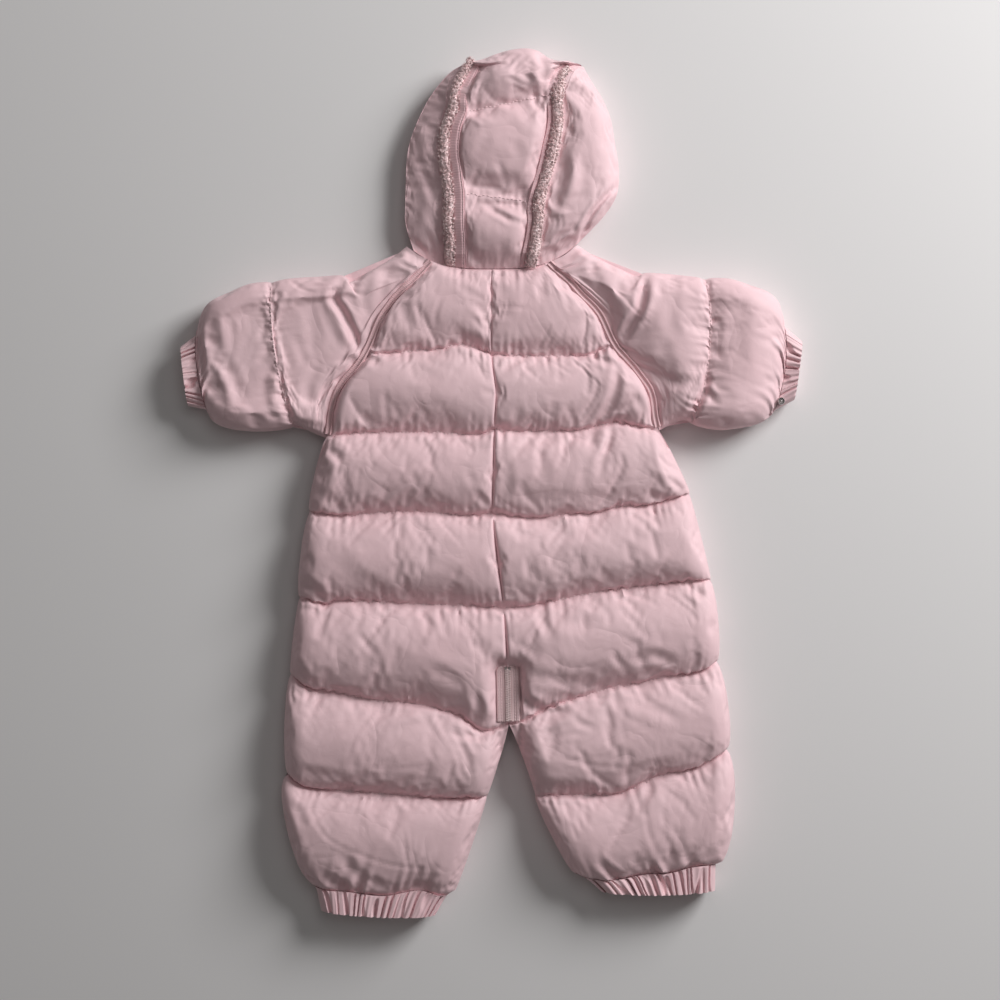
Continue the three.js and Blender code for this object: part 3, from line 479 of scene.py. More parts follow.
sherpa = clothMaterial("sherpa pile", {
    "base": (0.98, 0.80, 0.80), "deep": (0.93, 0.71, 0.71), "rough": 0.85, "sheen": 0.35, "specular": 0.12,
    "cloudScale": 160.0, "threads": 1800.0, "threadBump": 0.05, "crumpleScale": 500.0, "crumpleBump": 0.02,
    "sheenTint": (1, 0.94, 0.94),
})
teethPink = clothMaterial("moulded zip teeth", {
    "base": (0.86, 0.72, 0.71), "deep": (0.80, 0.64, 0.64), "rough": 0.38, "sheen": 0.0, "specular": 0.5,
    "cloudScale": 220.0, "threads": 300.0, "threadBump": 0.0, "crumpleScale": 900.0, "crumpleBump": 0.1,
})


def metalMaterial(name, bright, dull, rough):
    material, nodes, links, shader = newMaterial(name, bright, rough, metallic=1.0)
    place = {"Vector": nodes.new("ShaderNodeTexCoord").outputs["Object"]}
    worn = placeNode(nodes, "TexNoise", place, Scale=420.0, Detail=6.0, Roughness=0.6).outputs["Fac"]
    links.new(toneRamp(nodes, worn, dull, bright, (0.35, 0.65)), shader.inputs["Base Color"])
    links.new(roughRange(nodes, worn, rough - 0.08, rough + 0.14), shader.inputs["Roughness"])
    links.new(bumpNode(nodes, worn, 0.12, 0.0001).outputs["Normal"], shader.inputs["Normal"])
    return material


nickel = metalMaterial("worn nickel", (0.70, 0.67, 0.66), (0.48, 0.45, 0.44), 0.28)
print("finishes made")


# body: each half goes from the neck down to its leg cuff
# lines are the sewn lines from the middle out, in mm; mids are the middles of each puff's two edges
lineHigh = [5, 6, 6, 6, 6, 6, 6, 8]
puffHigh = [17, 20, 21, 22, 22, 22, 21]
centrePoints = [
    (0, 175.3), (0, 140), (0, 105), (3.5, 73), (2, 43), (1.5, 10),
    (1, -25), (5, -64), (10, -103), (13, -150), (14, -198),
]
halves = {
    "left": {
        "raglan": [(-50, 182), (-87, 142), (-104, 106), (-127.5, 73), (-135, 37), (-146, 5)],
        "lines": [
            [(0, 175.3), (-25, 176.1), (-50, 182)],
            [(0, 105), (-12, 110), (-27, 113), (-45, 109), (-63, 108), (-87, 106), (-104, 106)],
            [(2, 43), (-14, 39.5), (-45, 41), (-88, 41), (-118, 40), (-135, 37)],
            [(1, -25), (-20, -27), (-60, -24), (-93, -25), (-123, -27), (-149.5, -24)],
            [(10, -103), (-25, -101), (-60, -100), (-123, -97), (-135, -100), (-157.5, -94)],
            [(14, -198), (2, -203), (-10, -203), (-25, -192), (-40, -187), (-60, -182),
             (-100, -178), (-130, -172), (-150, -168), (-165, -157)],
            [(-4, -258.5), (-40, -259), (-80, -256), (-120, -253), (-150, -250), (-166.5, -240.5)],
            [(-29.5, -335), (-42, -338.5), (-60, -334), (-88, -338.5), (-120, -335), (-136, -334),
             (-148, -330)],
        ],
        "inMids": {5: (6, -230), 6: (-14.5, -294)},
        "outMids": {2: (-146, 5), 3: (-157.5, -62), 4: (-163.5, -128), 5: (-170.5, -203), 6: (-169.5, -280)},
    },
    "right": {
        "raglan": [(47, 180.8), (85, 143), (101.5, 113), (129, 78), (137, 43), (154, 13)],
        "lines": [
            [(0, 175.3), (24, 176), (47, 180.8)],
            [(0, 105), (28, 103.5), (60, 104), (78, 104), (90, 109), (101.5, 113)],
            [(2, 43), (32, 42), (72, 43), (99, 49), (118, 46.5), (137, 43)],
            [(1, -25), (20, -28), (40, -29), (61, -26), (83, -25), (106, -20), (131, -18), (162.5, -9)],
            [(10, -103), (30, -101.5), (52, -97), (86, -90), (127, -85), (160, -81), (180, -80)],
            [(14, -198), (25, -196), (45, -186), (60, -180), (80, -174), (100, -168),
             (120, -165), (140, -160), (170, -155), (185, -146.5)],
            [(36, -257), (60, -256.5), (100, -256), (112, -252), (125, -246), (140, -240), (160, -236),
             (175, -230), (192.5, -219)],
            [(68, -321), (85, -325.5), (100, -326), (125, -321), (145, -320), (165, -315), (187, -313)],
        ],
        "inMids": {5: (25, -224), 6: (49, -290)},
        "outMids": {2: (154, 13), 3: (174, -50), 4: (187, -117), 5: (195.5, -188), 6: (200, -268)},
    },
}
edgeKinds = {  # thickness at the edge, flat margin and rounding
    "seam": (15.5, 0.2, 4.0), "raglan": (7.0, 3.4, 9.0), "zip": (9.0, 10.3, 13.0), "side": (1.6, 0.0, 20.0),
    "frontSeam": (9.5, 3.0, 11.0), "frontZip": (6.0, 11.0, 9.0),
}
# edge of the cloth round the back zip, between two places down the back
zipArch = {"half": 10.4, "top": -148.0, "round": 4.8, "from": 4.1, "to": 5.0}
bodyMesh = {"rowStep": 3.5, "columns": 52, "frontStep": 4.2, "frontColumns": 40, "puffLong": 72.0}

# creases of the back, from the photograph: points, depth in mm (a ridge is below 0) and width
bodyCreases = {
    "left": [
        ([(-25, 160), (-12, 151), (0, 140)], 1.0, 3.5),
        ([(-20, 150), (-8, 139), (-1, 125)], 1.3, 3.2),
        ([(-15, 135), (-6, 125), (-1, 113)], 1.1, 2.8),
        ([(-28, 118), (-15, 115), (-3, 108)], 2.2, 5),
        ([(-58, 160), (-61, 145), (-52, 128)], 0.6, 2.5),
        ([(-40, 152), (-45, 140), (-46, 128)], 0.5, 2.5),
        ([(-105, 105), (-98, 100), (-92, 97)], 3.0, 3.6),
        ([(-101, 109), (-93, 106), (-88, 101)], -1.6, 3),
        ([(-87, 75), (-86, 60), (-85, 45)], 0.9, 3),
        ([(-105, 55), (-98, 42)], 1.4, 3.2),
        ([(-60, 60), (-66, 52), (-70, 44)], 0.7, 2.6),
        ([(-134, 28), (-127, 22), (-121, 17)], 3.0, 4),
        ([(-130, 37), (-123, 33), (-116, 26)], -1.8, 3.2),
        ([(-145, -5), (-135, -13), (-125, -20)], 1.6, 6),
        ([(-131, -5), (-136, -22)], 1.0, 2.8),
        ([(-121, -7), (-126, -24)], 1.0, 2.8),
        ([(-101, -5), (-106, -23)], 0.9, 2.8),
        ([(-86, -8), (-92, -23)], 0.9, 2.6),
        ([(-74, -10), (-80, -22)], 0.8, 2.6),
        ([(-55, -2), (-52, -20)], 0.8, 4),
        ([(-14, -6), (-7, -14), (1, -22)], 1.3, 3.2),
        ([(-20, 10), (-14, -4)], 0.7, 3.5),
        ([(-130, -60), (-95, -90), (-30, -97)], 1.4, 9),
        ([(-60, -38), (-90, -50), (-110, -70)], 0.8, 7),
        ([(-158, -80), (-145, -88), (-133, -100)], 3.0, 5),
        ([(-158, -98), (-148, -100), (-139, -99)], -1.8, 3.5),
        ([(-110, -122), (-101, -132), (-90, -143)], 1.1, 3),
        ([(-103, -105), (-107, -112), (-112, -120)], 1.2, 3),
        ([(-82, -118), (-84, -132)], -0.9, 2.6),
        ([(-60, -102), (-54, -110), (-47, -120)], 1.2, 3),
        ([(-45, -104), (-40, -112), (-36, -126)], 0.9, 3),
        ([(-30, -106), (-26, -118)], 0.9, 3.5),
        ([(-163, -145), (-157, -154), (-149, -162)], 1.9, 4.5),
        ([(-55, -150), (-35, -158), (-15, -166)], 1.0, 6),
        ([(-13, -170), (-11, -184), (-14, -198)], 2.8, 4),
        ([(-3, -174), (-2, -188), (-4, -201)], -1.8, 3.6),
        ([(-35, -202), (-24, -207), (-10, -208)], 1.9, 3.4),
        ([(-30, -196), (-16, -203), (-5, -206)], -1.1, 2.6),
        ([(-118, -228), (-110, -205), (-95, -187), (-72, -183)], 0.55, 1.9),
        ([(-118, -230), (-80, -233), (-40, -229)], 0.45, 1.8),
        ([(-158, -235), (-138, -238), (-112, -244)], 1.3, 5),
        ([(-82, -198), (-66, -192), (-50, -191)], -1.2, 4.5),
        ([(-150, -188), (-135, -173)], 1.4, 3.5),
        ([(-160, -178), (-157, -192)], 1.0, 4),
        ([(-147, -255), (-146, -270), (-133, -290), (-105, -304), (-75, -313), (-38, -316)], 0.7, 2.0),
        ([(-82, -265), (-81, -290)], 0.7, 2),
        ([(-72, -285), (-68, -315)], 0.7, 2),
        ([(-80, -260), (-76, -273)], 1.0, 2.6),
        ([(-122, -302), (-112, -318), (-100, -331)], 1.8, 5),
        ([(-138, -318), (-128, -328), (-112, -334)], 2.3, 4.5),
        ([(-65, -330), (-54, -331), (-42, -335)], 2.0, 4),
        ([(-100, -322), (-88, -331)], 1.5, 4),
        ([(-160, -262), (-152, -282)], 1.2, 4),
    ],
    "right": [
        ([(10, 132), (11, 146), (8, 162)], 1.0, 6),
        ([(1, 143), (15, 143), (30, 142)], 0.7, 2),
        ([(15, 110), (45, 109), (80, 112)], 1.3, 6),
        ([(44, 172), (40, 160), (43, 150)], 1.0, 4),
        ([(28, 105), (18, 98), (8, 91)], 1.8, 3.2),
        ([(13, 102), (6, 96)], -1.0, 2.6),
        ([(92, 111), (86, 104), (92, 99), (103, 97)], 2.4, 3.2),
        ([(104, 98), (101, 76), (95, 60), (85, 47)], 2.8, 4),
        ([(110, 92), (111, 75), (104, 58)], -1.2, 5),
        ([(118, 72), (125, 58), (134, 48)], 1.8, 4),
        ([(98, 56), (108, 61), (117, 66)], 1.2, 3),
        ([(82, 98), (66, 89), (50, 80)], 1.1, 4.5),
        ([(52, 66), (47, 52)], 1.1, 4),
        ([(22, 62), (20, 48)], 1.1, 4),
        ([(3, 52), (9, 46), (16, 47)], 1.6, 2.8),
        ([(35, 40), (27, 31), (18, 21)], 1.8, 3.6),
        ([(48, 41), (41, 30), (38, 18)], 1.1, 3.5),
        ([(58, 28), (65, 34), (72, 39)], 1.4, 3.2),
        ([(86, 48), (83, 38), (81, 28)], 2.6, 3.6),
        ([(101, 49), (95, 30), (87, 4)], 2.6, 4.2),
        ([(93, 42), (89, 24)], -1.3, 3),
        ([(40, 30), (43, 14), (40, -2)], 1.1, 6),
        ([(75, 12), (76, -6)], 1.0, 5),
        ([(10, 22), (13, 2), (9, -16)], 1.1, 5),
        ([(22, -12), (75, -13), (128, -10)], 1.2, 6),
        ([(128, -9), (137, -13), (147, -14)], 2.2, 4),
        ([(147, 2), (152, -3), (158, -8)], 2.0, 3.6),
        ([(40, -36), (62, -40), (86, -38)], 1.7, 7),
        ([(16, -35), (24, -42), (34, -44)], 1.0, 4),
        ([(30, -55), (32, -80)], 1.0, 5),
        ([(70, -58), (72, -76)], 1.0, 5),
        ([(90, -72), (92, -86)], 1.0, 3),
        ([(62, -82), (60, -95)], 1.0, 3.4),
        ([(160, -83), (168, -90), (176, -93)], 2.4, 4),
        ([(178, -84), (172, -92)], -1.2, 2.6),
        ([(45, -88), (41, -108), (49, -126)], 2.6, 4.4),
        ([(40, -110), (28, -120), (16, -131)], 1.6, 3.4),
        ([(88, -98), (95, -108), (96, -118)], 0.9, 3),
        ([(55, -112), (68, -115), (82, -113)], 1.2, 6),
        ([(98, -138), (105, -148), (114, -157)], 1.7, 3),
        ([(112, -148), (132, -140), (152, -148)], 2.0, 4.4),
        ([(120, -152), (132, -150), (144, -155)], -1.0, 4),
        ([(22, -152), (50, -160), (90, -167)], 1.5, 5.5),
        ([(22, -168), (30, -180), (42, -187), (62, -187)], 3.6, 4.6),
        ([(62, -186), (50, -193), (34, -196)], 2.2, 3.6),
        ([(36, -176), (46, -180), (58, -181)], -1.4, 4),
        ([(110, -176), (130, -182), (152, -193)], 1.7, 4.6),
        ([(95, -185), (118, -188), (140, -202)], -0.8, 4),
        ([(66, -188), (72, -196), (84, -200)], 1.2, 3.2),
        ([(48, -212), (60, -206), (76, -205)], 0.6, 2.4),
        ([(54, -222), (85, -231), (120, -232)], 0.7, 2.4),
        ([(100, -240), (130, -232), (155, -228)], 1.3, 5),
        ([(36, -246), (60, -251), (90, -251)], 1.4, 5),
        ([(114, -250), (106, -253), (96, -253)], 1.8, 3),
        ([(128, -248), (125, -260), (118, -267)], 1.6, 3.4),
        ([(125, -258), (128, -285), (136, -302)], 0.6, 2.4),
        ([(85, -308), (96, -318), (108, -323)], 2.3, 4),
        ([(116, -300), (121, -316)], 1.6, 5),
        ([(150, -300), (144, -314)], 1.9, 5),
        ([(168, -296), (158, -310)], 1.9, 4.6),
        ([(192, -292), (183, -302), (170, -311)], 2.2, 4.6),
        ([(42, -262), (50, -275), (60, -283)], 0.9, 6),
    ],
}


def centreX(y):
    path = smoothPath(centrePoints)
    return np.interp(-np.asarray(y), -path[:, 1], path[:, 0])


def bulge(start, middle, end, w):
    start, middle, end = (np.asarray(p, float) for p in (start, middle, end))
    base = mix(start, end, w[:, None])
    return base + (middle - (start + end) / 2) * puffShape(w)[:, None]


def halfEdges(half, k, w):
    lines = half["lines"]
    if k < 5:
        inner = curveAt(centrePoints, (k + w) / 5)
    else:
        inner = bulge(lines[k][0], half["inMids"][k], lines[k + 1][0], w)
    if k < 2:
        outer = curveAt(half["raglan"], (k + w) / 2.5)
    else:
        outer = bulge(lines[k][-1], half["outMids"][k], lines[k + 1][-1], w)
    return inner, outer


# spacing that is finer towards both ends
def spread(count, ends=0.35):
    s = np.linspace(0, 1, count)
    return mix(s, (1 - np.cos(math.pi * s)) / 2, ends)


def bodyGrid(side, upper, step, columns, fullness=1.0):
    half = halves[side]
    u = spread(columns)
    inStops, outStops = [0, 4.545, 4.555, 5.0, 5.5, 7], [0, 2.0, 2.5, 7]
    inKinds, outKinds = ["seam", "seam", "zip", "zip", "side", "side"], ["raglan", "raglan", "side", "side"]
    if not upper:
        inKinds, outKinds = ["frontZip"] * 4 + ["side"] * 2, ["frontSeam"] * 2 + ["side"] * 2
    rows, flags, places = [], [], []
    for k in range(7):
        start, end = (smoothPath(half["lines"][k + n]) for n in (0, 1))
        long = np.linalg.norm(along(start, 0.5) - along(end, 0.5))
        count = max(8, int(round(long / step)))
        w = spread(count + 1, 0.3)
        if k < 6:
            w = w[:-1]
        inner, outer = halfEdges(half, k, w)
        a, b = along(start, u), along(end, u)
        for n, share in enumerate(w):
            flat = mix(a, b, share) + np.outer(1 - u, inner[n]) + np.outer(u, outer[n])
            flat -= np.outer((1 - u) * (1 - share), a[0]) + np.outer((1 - u) * share, b[0])
            flat -= np.outer(u * (1 - share), a[-1]) + np.outer(u * share, b[-1])
            rows.append(flat)
            flags.append(n == 0 or share > 0.999)
            places.append(k + share)
    flat = np.array(rows)
    places = np.array(places)
    flat[0, :, 1] = neckY(flat[0, :, 0])
    width = np.linalg.norm(flat[:, -1] - flat[:, 0], axis=1)[:, None]
    inKind, outKind = (
        [np.interp(places, stops, [edgeKinds[kind][n] for kind in kinds])[:, None] for n in range(3)]
        for stops, kinds in ((inStops, inKinds), (outStops, outKinds))
    )
    nearIn = roundUp((u * width - inKind[1]) / inKind[2])
    nearOut = roundUp(((1 - u) * width - outKind[1]) / outKind[2])
    puff = np.minimum(places.astype(int), 6)
    w = places - puff
    if upper:
        line = np.interp(places, np.arange(8), lineHigh)
        top = line + (np.array(puffHigh)[puff] * fullness - line) * puffShape(w)
    else:
        top = mix(stack["underSeam"], stack["under"], puffShape(w))
    atSeam = np.minimum(inKind[0], 0.8 * top[:, None] + 1) if upper else inKind[0]
    thick = mix(atSeam, mix(outKind[0], top[:, None], nearOut), nearIn)
    byZip = np.zeros(thick.shape, bool)
    if upper:  # the cloth is sewn down round the arched top of the zip tape
        inside = zipArch["half"] - zipArch["round"]
        aside = np.maximum(np.abs(flat[..., 0] - centreX(flat[..., 1])) - inside, 0)
        above = np.maximum(flat[..., 1] - (zipArch["top"] - zipArch["round"]), 0)
        far = np.hypot(aside, above) - zipArch["round"]
        low = mix(edgeKinds["zip"][0], top[:, None], roundUp(far / edgeKinds["zip"][2]))
        near = (places > zipArch["from"]) & (places < zipArch["to"])
        thick = np.where(near[:, None], np.minimum(thick, low), thick)
        byZip = near[:, None] & (far < 0.5)
        z = stack["middle"] + stack["gap"] + thick
    else:
        z = stack["middle"] - stack["gap"] - np.minimum(thick, stack["middle"] - stack["gap"])
    grid = np.dstack([flat, z])
    pinned = np.zeros(grid.shape[:2], bool)
    pinned[flags] = True
    pinned[[0, -1]] = True
    pinned[:, [0, -1]] = True
    pinned |= (u * width <= inKind[1] + 0.2) | ((1 - u) * width <= outKind[1] + 0.2) | byZip
    return grid, pinned, places


sewnRows = {}  # lines along which stitches are laid later


# how much spare cloth each point has, by its distance from a seam in mm
def slackNear(far, reach=16.0):
    return clip01(1 - far / reach)


def lineFars(places):
    return np.abs(places - np.round(places)) * bodyMesh["puffLong"]


def relaxedBody(side):
    grid, pinned, places = bodyGrid(side, True, bodyMesh["rowStep"], bodyMesh["columns"], 0.9)
    points, faces = slabMesh(grid, stack["middle"] + stack["gap"])
    held = np.ones(len(points), bool)
    held[: pinned.size] = pinned.reshape(-1)
    across = grid[..., 0] - grid[:, :1, 0]
    far = np.minimum(lineFars(places)[:, None], np.abs(across) + 4)
    loose = np.zeros(len(points))
    loose[: pinned.size] = slackNear(far).reshape(-1)
    out = inflate(f"pad {side}", points, faces, held, loose)
    return out[: pinned.size].reshape(grid.shape), places


def addBody(side):
    grid, places = relaxedBody(side)
    grid = finer(grid)
    places = finer(np.repeat(places[:, None], 2, axis=1))[:, 0]
    way = wayAlong(grid, 1)
    seed = 100 if side == "left" else 200
    for k in range(8):
        size = {0: neckPucker, 7: cuffPucker}.get(k, seamPucker)
        for sign in (-1, 1):
            near = (sign * (places - k) >= (0 if sign > 0 else 1e-6)) & (sign * (places - k) < 0.5)
            if not near.any():
                continue
            part = grid[near]
            far = np.repeat(np.abs(places[near] - k)[:, None] * bodyMesh["puffLong"], grid.shape[1], axis=1)
            pucker(part, far, way[near], seed + 7 * k + (3 if sign > 0 else 0), size)
            grid[near] = part
    grid[..., 2] += creaseField(grid[..., 0], grid[..., 1], bodyCreases[side])
    grid[..., 2] = np.maximum(grid[..., 2], stack["middle"] + stack["gap"] + stack["least"])
    for k in range(1, 7):
        sewnRows[f"back {side} {k}"] = grid[np.abs(places - k).argmin(), 2:-6]
    points, faces = slabMesh(grid, stack["middle"] + stack["gap"])
    made = makeObject(f"back_{side}_cloth", points, faces, palePink)
    sewOn(made, f"back_{side}")


for side in ("left", "right"):
    addBody(side)
print("back panels made")


# front panels lie under the back ones, with their flat underside on the floor
def addFront(side):
    grid, pinned, places = bodyGrid(side, False, bodyMesh["frontStep"], bodyMesh["frontColumns"])
    far = np.abs(places[:, None] - np.round(places[:, None])) * 75
    x, y = grid[..., 0], grid[..., 1]
    waves = wavy(x + 0.3 * y, 31, 7, 15) * np.exp(-far / 7) * clip01(far / 3)
    grid[..., 2] = np.maximum(grid[..., 2] + 0.7 * waves * ~pinned, 0)
    points, faces = slabMesh(grid, stack["middle"] - stack["gap"])
    made = makeObject(f"front_{side}_cloth", points, faces, palePink)
    sewOn(made, f"front_{side}")


for side in ("left", "right"):
    addFront(side)
print("front panels made")


# sleeves: flattened tubes, one section in each row of the table, from the raglan seam to the cuff
# columns: upper edge x and y, lower edge x and y, bow, rise over the middle, how closely it hugs the seam
sleeves = {
    "left": [
        (-69, 194.4, -135, 37, 0, 7, 1),
        (-81, 185.5, -141, 39, 0, 12, 1),
        (-92, 178.5, -144, 40, 0, 13.5, 0.85),
        (-103, 172.5, -146, 41, 1, 15.5, 0.6),
        (-115, 165.5, -148.3, 42, 1, 16, 0.45),
        (-122.5, 170.5, -150.5, 43, 1, 16.5, 0.3),
        (-141, 169.5, -153.5, 44.5, 3, 17.3, 0.2),
        (-159, 168.5, -156.5, 46, 5, 18, 0.1),
        (-172, 167, -159, 47, 6, 17.8, 0),
        (-180, 164.5, -162, 46.5, 6, 15.8, 0),
        (-187, 165, -170, 44, 4, 18.5, 0),
        (-201, 163, -187, 42.3, 3, 20, 0),
        (-217, 156, -207, 43.2, 2, 20, 0),
        (-231, 149, -222, 46.5, 2, 16, 0),
        (-239.5, 136, -230.5, 52, 2, 11, 0),
        (-243, 121.5, -234, 59.5, 2.5, 8, 0),
    ],
    "right": [
        (70, 194.8, 137, 43, 0, 7, 1),
        (82, 187.5, 143, 46, 0, 12, 1),
        (93, 181.5, 146, 47.5, 0, 13.5, 0.85),
        (105, 176, 148.3, 48.5, 1, 15.5, 0.6),
        (119, 169.8, 150.3, 49.3, 1, 16, 0.45),
        (127, 172.5, 152, 50, 1, 16.5, 0.3),
        (145, 171.5, 155.5, 51, 4, 17.3, 0.2),
        (160, 170, 159, 51.3, 6, 18, 0.1),
        (169, 169, 162, 50.5, 8, 17.8, 0),
        (175.5, 167, 165, 48.7, 8, 15.8, 0),
        (182, 168.3, 171.5, 46, 6, 18.5, 0),
        (197, 167.5, 187, 43.5, 4, 20, 0),
        (213, 162.3, 204, 45, 3, 20, 0),
        (228, 156.5, 219, 48.5, 3, 16, 0),
        (237, 146, 227.5, 53, 4, 11, 0),
        (240.5, 129, 232, 58.5, 4.5, 8, 0),
    ],
}
sleeveMesh = {"steps": 4, "upper": 46, "lower": 24, "round": 20.0, "shift": (0.7, 0.1), "quiltRow": 9}
wallThick = 2.5  # padding at the edges of a tube


def sleeveSeam(side):
    top = sleeves[side][0][0]
    start = halves[side]["raglan"][0][0]
    neck = [[mix(top, start, t), neckY(mix(top, start, t)) - 0.5] for t in (0, 0.5)]
    return np.vstack([neck, curveAt(halves[side]["raglan"], np.linspace(0, 0.8, 60))])


# outer and inner rings of a flattened tube; heights above and below the middle
def tubeRings(plan, long, rise, under, hem, hollow, uppers, lowers, rounding, folds=None):
    def full(c, radius):
        return roundUp(c * long / radius) * roundUp((1 - c) * long / radius)

    inset = wallThick / long
    outer, inner = [], []
    for stops, sign in ((uppers, 1), (lowers[::-1], -1)):
        edge = mix(hem[0], hem[1], stops)
        reach = (rise if sign > 0 else under) + (folds(stops) if folds and sign > 0 else 0)
        high = mix(edge, reach, full(stops, rounding))
        if sign < 0:
            high = np.minimum(high, stack["middle"])
        outer.append(np.column_stack([plan(stops), stack["middle"] + sign * high]))
        inside = mix(inset, 1 - inset, stops)
        deep = mix(stack["gap"], hollow, full(inside, rounding * 0.6))
        inner.append(np.column_stack([plan(inside), stack["middle"] + sign * deep]))
    return np.vstack(outer), np.vstack(inner)


def sleeveRings(side):
    rows = sleeves[side]
    seam = sleeveSeam(side)
    sign = -1 if side == "left" else 1
    uppers, lowers = spread(sleeveMesh["upper"]), spread(sleeveMesh["lower"])
    places = np.linspace(0, len(rows) - 1, (len(rows) - 1) * sleeveMesh["steps"] + 1)
    table = curveAt(rows, places / (len(rows) - 1))
    outer, inner = [], []
    for place, row in zip(places, table):
        topX, topY, lowX, lowY, bow, rise, hug = row
        fade = clip01(1 - place)
        if place < 1:  # flat under the tape, then up to the full sleeve
            rise = mix(rows[0][5], rows[1][5], float(roundUp((place - 0.42) / 0.58)))

        def plan(c):
            point = along(seam, c)
            chord = np.column_stack([mix(rows[0][0], rows[0][2], c), mix(rows[0][1], rows[0][3], c)])
            flat = np.column_stack([mix(topX, lowX, c), mix(topY, lowY, c)]) + (point - chord) * hug
            flat[:, 0] += sign * (bow * 4 * c * (1 - c) + sleeveMesh["shift"][0] * fade)
            flat[:, 1] += sleeveMesh["shift"][1] * fade
            return flat

        long = math.hypot(topX - lowX, topY - lowY)
        under = mix(stack["underNeck"], stack["under"], min(max((rise - 5) / 11, 0), 1))
        hem = (stack["hem"], mix(5.0, stack["hem"], min(place / 3, 1)))
        ring, core = tubeRings(
            plan, long, rise, under, hem, stack["gap"], uppers, lowers, sleeveMesh["round"]
        )
        outer.append(ring)
        inner.append(core)
    return np.array(outer), np.array(inner)


sleeveCreases = {
    "left": [
        ([(-120, 168), (-129, 152), (-122, 140), (-114, 124), (-106, 106)], 4.6, 3.8),
        ([(-136, 158), (-131, 142), (-124, 126), (-114, 108)], -1.5, 4.5),
        ([(-121, 104), (-112, 104), (-104, 101)], -1.6, 3.5),
        ([(-172, 94), (-171, 74), (-165, 56), (-160, 47)], 2.4, 3.2),
        ([(-180, 88), (-179, 70), (-172, 54)], -1.5, 4),
        ([(-140, 100), (-150, 80), (-148, 60)], 1.4, 5),
        ([(-118, 92), (-132, 80), (-144, 62)], 1.2, 4),
        ([(-150, 150), (-146, 125), (-150, 100)], 0.9, 6),
        ([(-160, 120), (-152, 95)], 0.9, 4),
        ([(-200, 150), (-196, 120), (-204, 85)], 0.8, 7),
        ([(-182, 130), (-190, 118)], 1.1, 3.2),
        ([(-181, 108), (-192, 98)], 1.1, 3.2),
        ([(-226, 100), (-214, 92), (-204, 70)], 1.2, 5),
        ([(-236, 118), (-224, 114)], 1.4, 4),
        ([(-232, 76), (-220, 80)], 1.4, 4),
        ([(-80, 182), (-88, 164), (-90, 148)], 0.9, 4),
        ([(-100, 168), (-104, 150), (-101, 134)], 0.9, 4),
    ],
    "right": [
        ([(127, 172), (124, 156), (121, 142), (112, 128), (104, 116)], 4.6, 3.8),
        ([(133, 168), (131, 150), (124, 134), (113, 118)], -1.5, 4.2),
        ([(176, 92), (175, 78), (168, 64), (160, 51)], 2.4, 3.2),
        ([(173, 75), (182, 68)], 2.2, 3.5),
        ([(160, 50), (165, 60), (172, 72)], 2.2, 4),
        ([(125, 95), (148, 82), (170, 82)], 1.6, 5),
        ([(140, 120), (142, 95), (150, 70)], 0.9, 6),
        ([(130, 88), (140, 76), (146, 62)], 1.1, 4),
        ([(150, 160), (146, 135), (150, 115)], 0.8, 6),
        ([(205, 150), (200, 120), (206, 85)], 0.8, 7),
        ([(179, 135), (188, 126)], 1.1, 3.2),
        ([(178, 110), (189, 103)], 1.1, 3.2),
        ([(236, 120), (224, 116)], 1.4, 4),
        ([(236, 80), (222, 84)], 1.4, 4),
        ([(80, 184), (86, 166), (88, 150)], 0.9, 4),
        ([(104, 168), (104, 150), (100, 134)], 0.9, 4),
    ],
}


def addSleeve(side):
    outer, inner = sleeveRings(side)
    rows, columns = outer.shape[:2]
    pinned = np.ones((rows, columns), bool)
    pinned[2:-1, 1 : sleeveMesh["upper"] - 1] = False
    quilt = sleeveMesh["quiltRow"] * sleeveMesh["steps"]
    pinned[quilt] = True
    faces = gridFaces(rows, columns, 0, True)
    faces += [list(range(columns))[::-1], [(rows - 1) * columns + j for j in range(columns)]]

    def rowFars(grid, sewn):
        way = wayAlong(grid, 0)
        return [way - way[row] for row in sewn]

    fars = rowFars(outer, (0, quilt, rows - 1))
    loose = slackNear(np.min(np.abs(fars), axis=0)).reshape(-1)
    points = inflate(f"pad sleeve {side}", outer.reshape(-1, 3), faces, pinned.reshape(-1), loose)
    outer = points.reshape(outer.shape)
    fine = finer(np.concatenate([outer, outer[:, :1]], axis=1))[:, :-1]
    upper = fine[:, : 2 * sleeveMesh["upper"] - 1].copy()
    way = wayAlong(upper, 1)
    seed = 300 if side == "left" else 400
    away = rowFars(upper, (0, 2 * quilt, len(upper) - 1))
    for n, size in ((1, seamPucker), (2, cuffPucker)):
        for sign in (-1, 1):
            puckered = upper.copy()
            pucker(puckered, np.abs(away[n]), way, seed + 5 * n + sign, size)
            chosen = (sign * away[n] >= 0) & (np.abs(away[n]) < 40)
            upper[chosen] = puckered[chosen]
    upper[..., 2] += creaseField(upper[..., 0], upper[..., 1], sleeveCreases[side])
    upper[..., 2] = np.maximum(upper[..., 2], stack["middle"] + stack["gap"] + 0.6)
    upper[[0, -1]] = fine[[0, -1], : upper.shape[1]]
    upper[:, [0, -1]] = fine[:, [0, upper.shape[1] - 1]]
    fine[:, : upper.shape[1]] = upper
    sewnRows[f"sleeve {side}"] = upper[2 * quilt, 6:-6].copy()
    core = finer(np.concatenate([inner, inner[:, :1]], axis=1))[[0, -1], :-1]
    points, faces = wallMesh(fine, core, True)
    made = makeObject(f"sleeve_{side}_cloth", points, faces, palePink)
    sewOn(made, f"sleeve_{side}")


for side in ("left", "right"):
    addSleeve(side)
print("sleeves made")


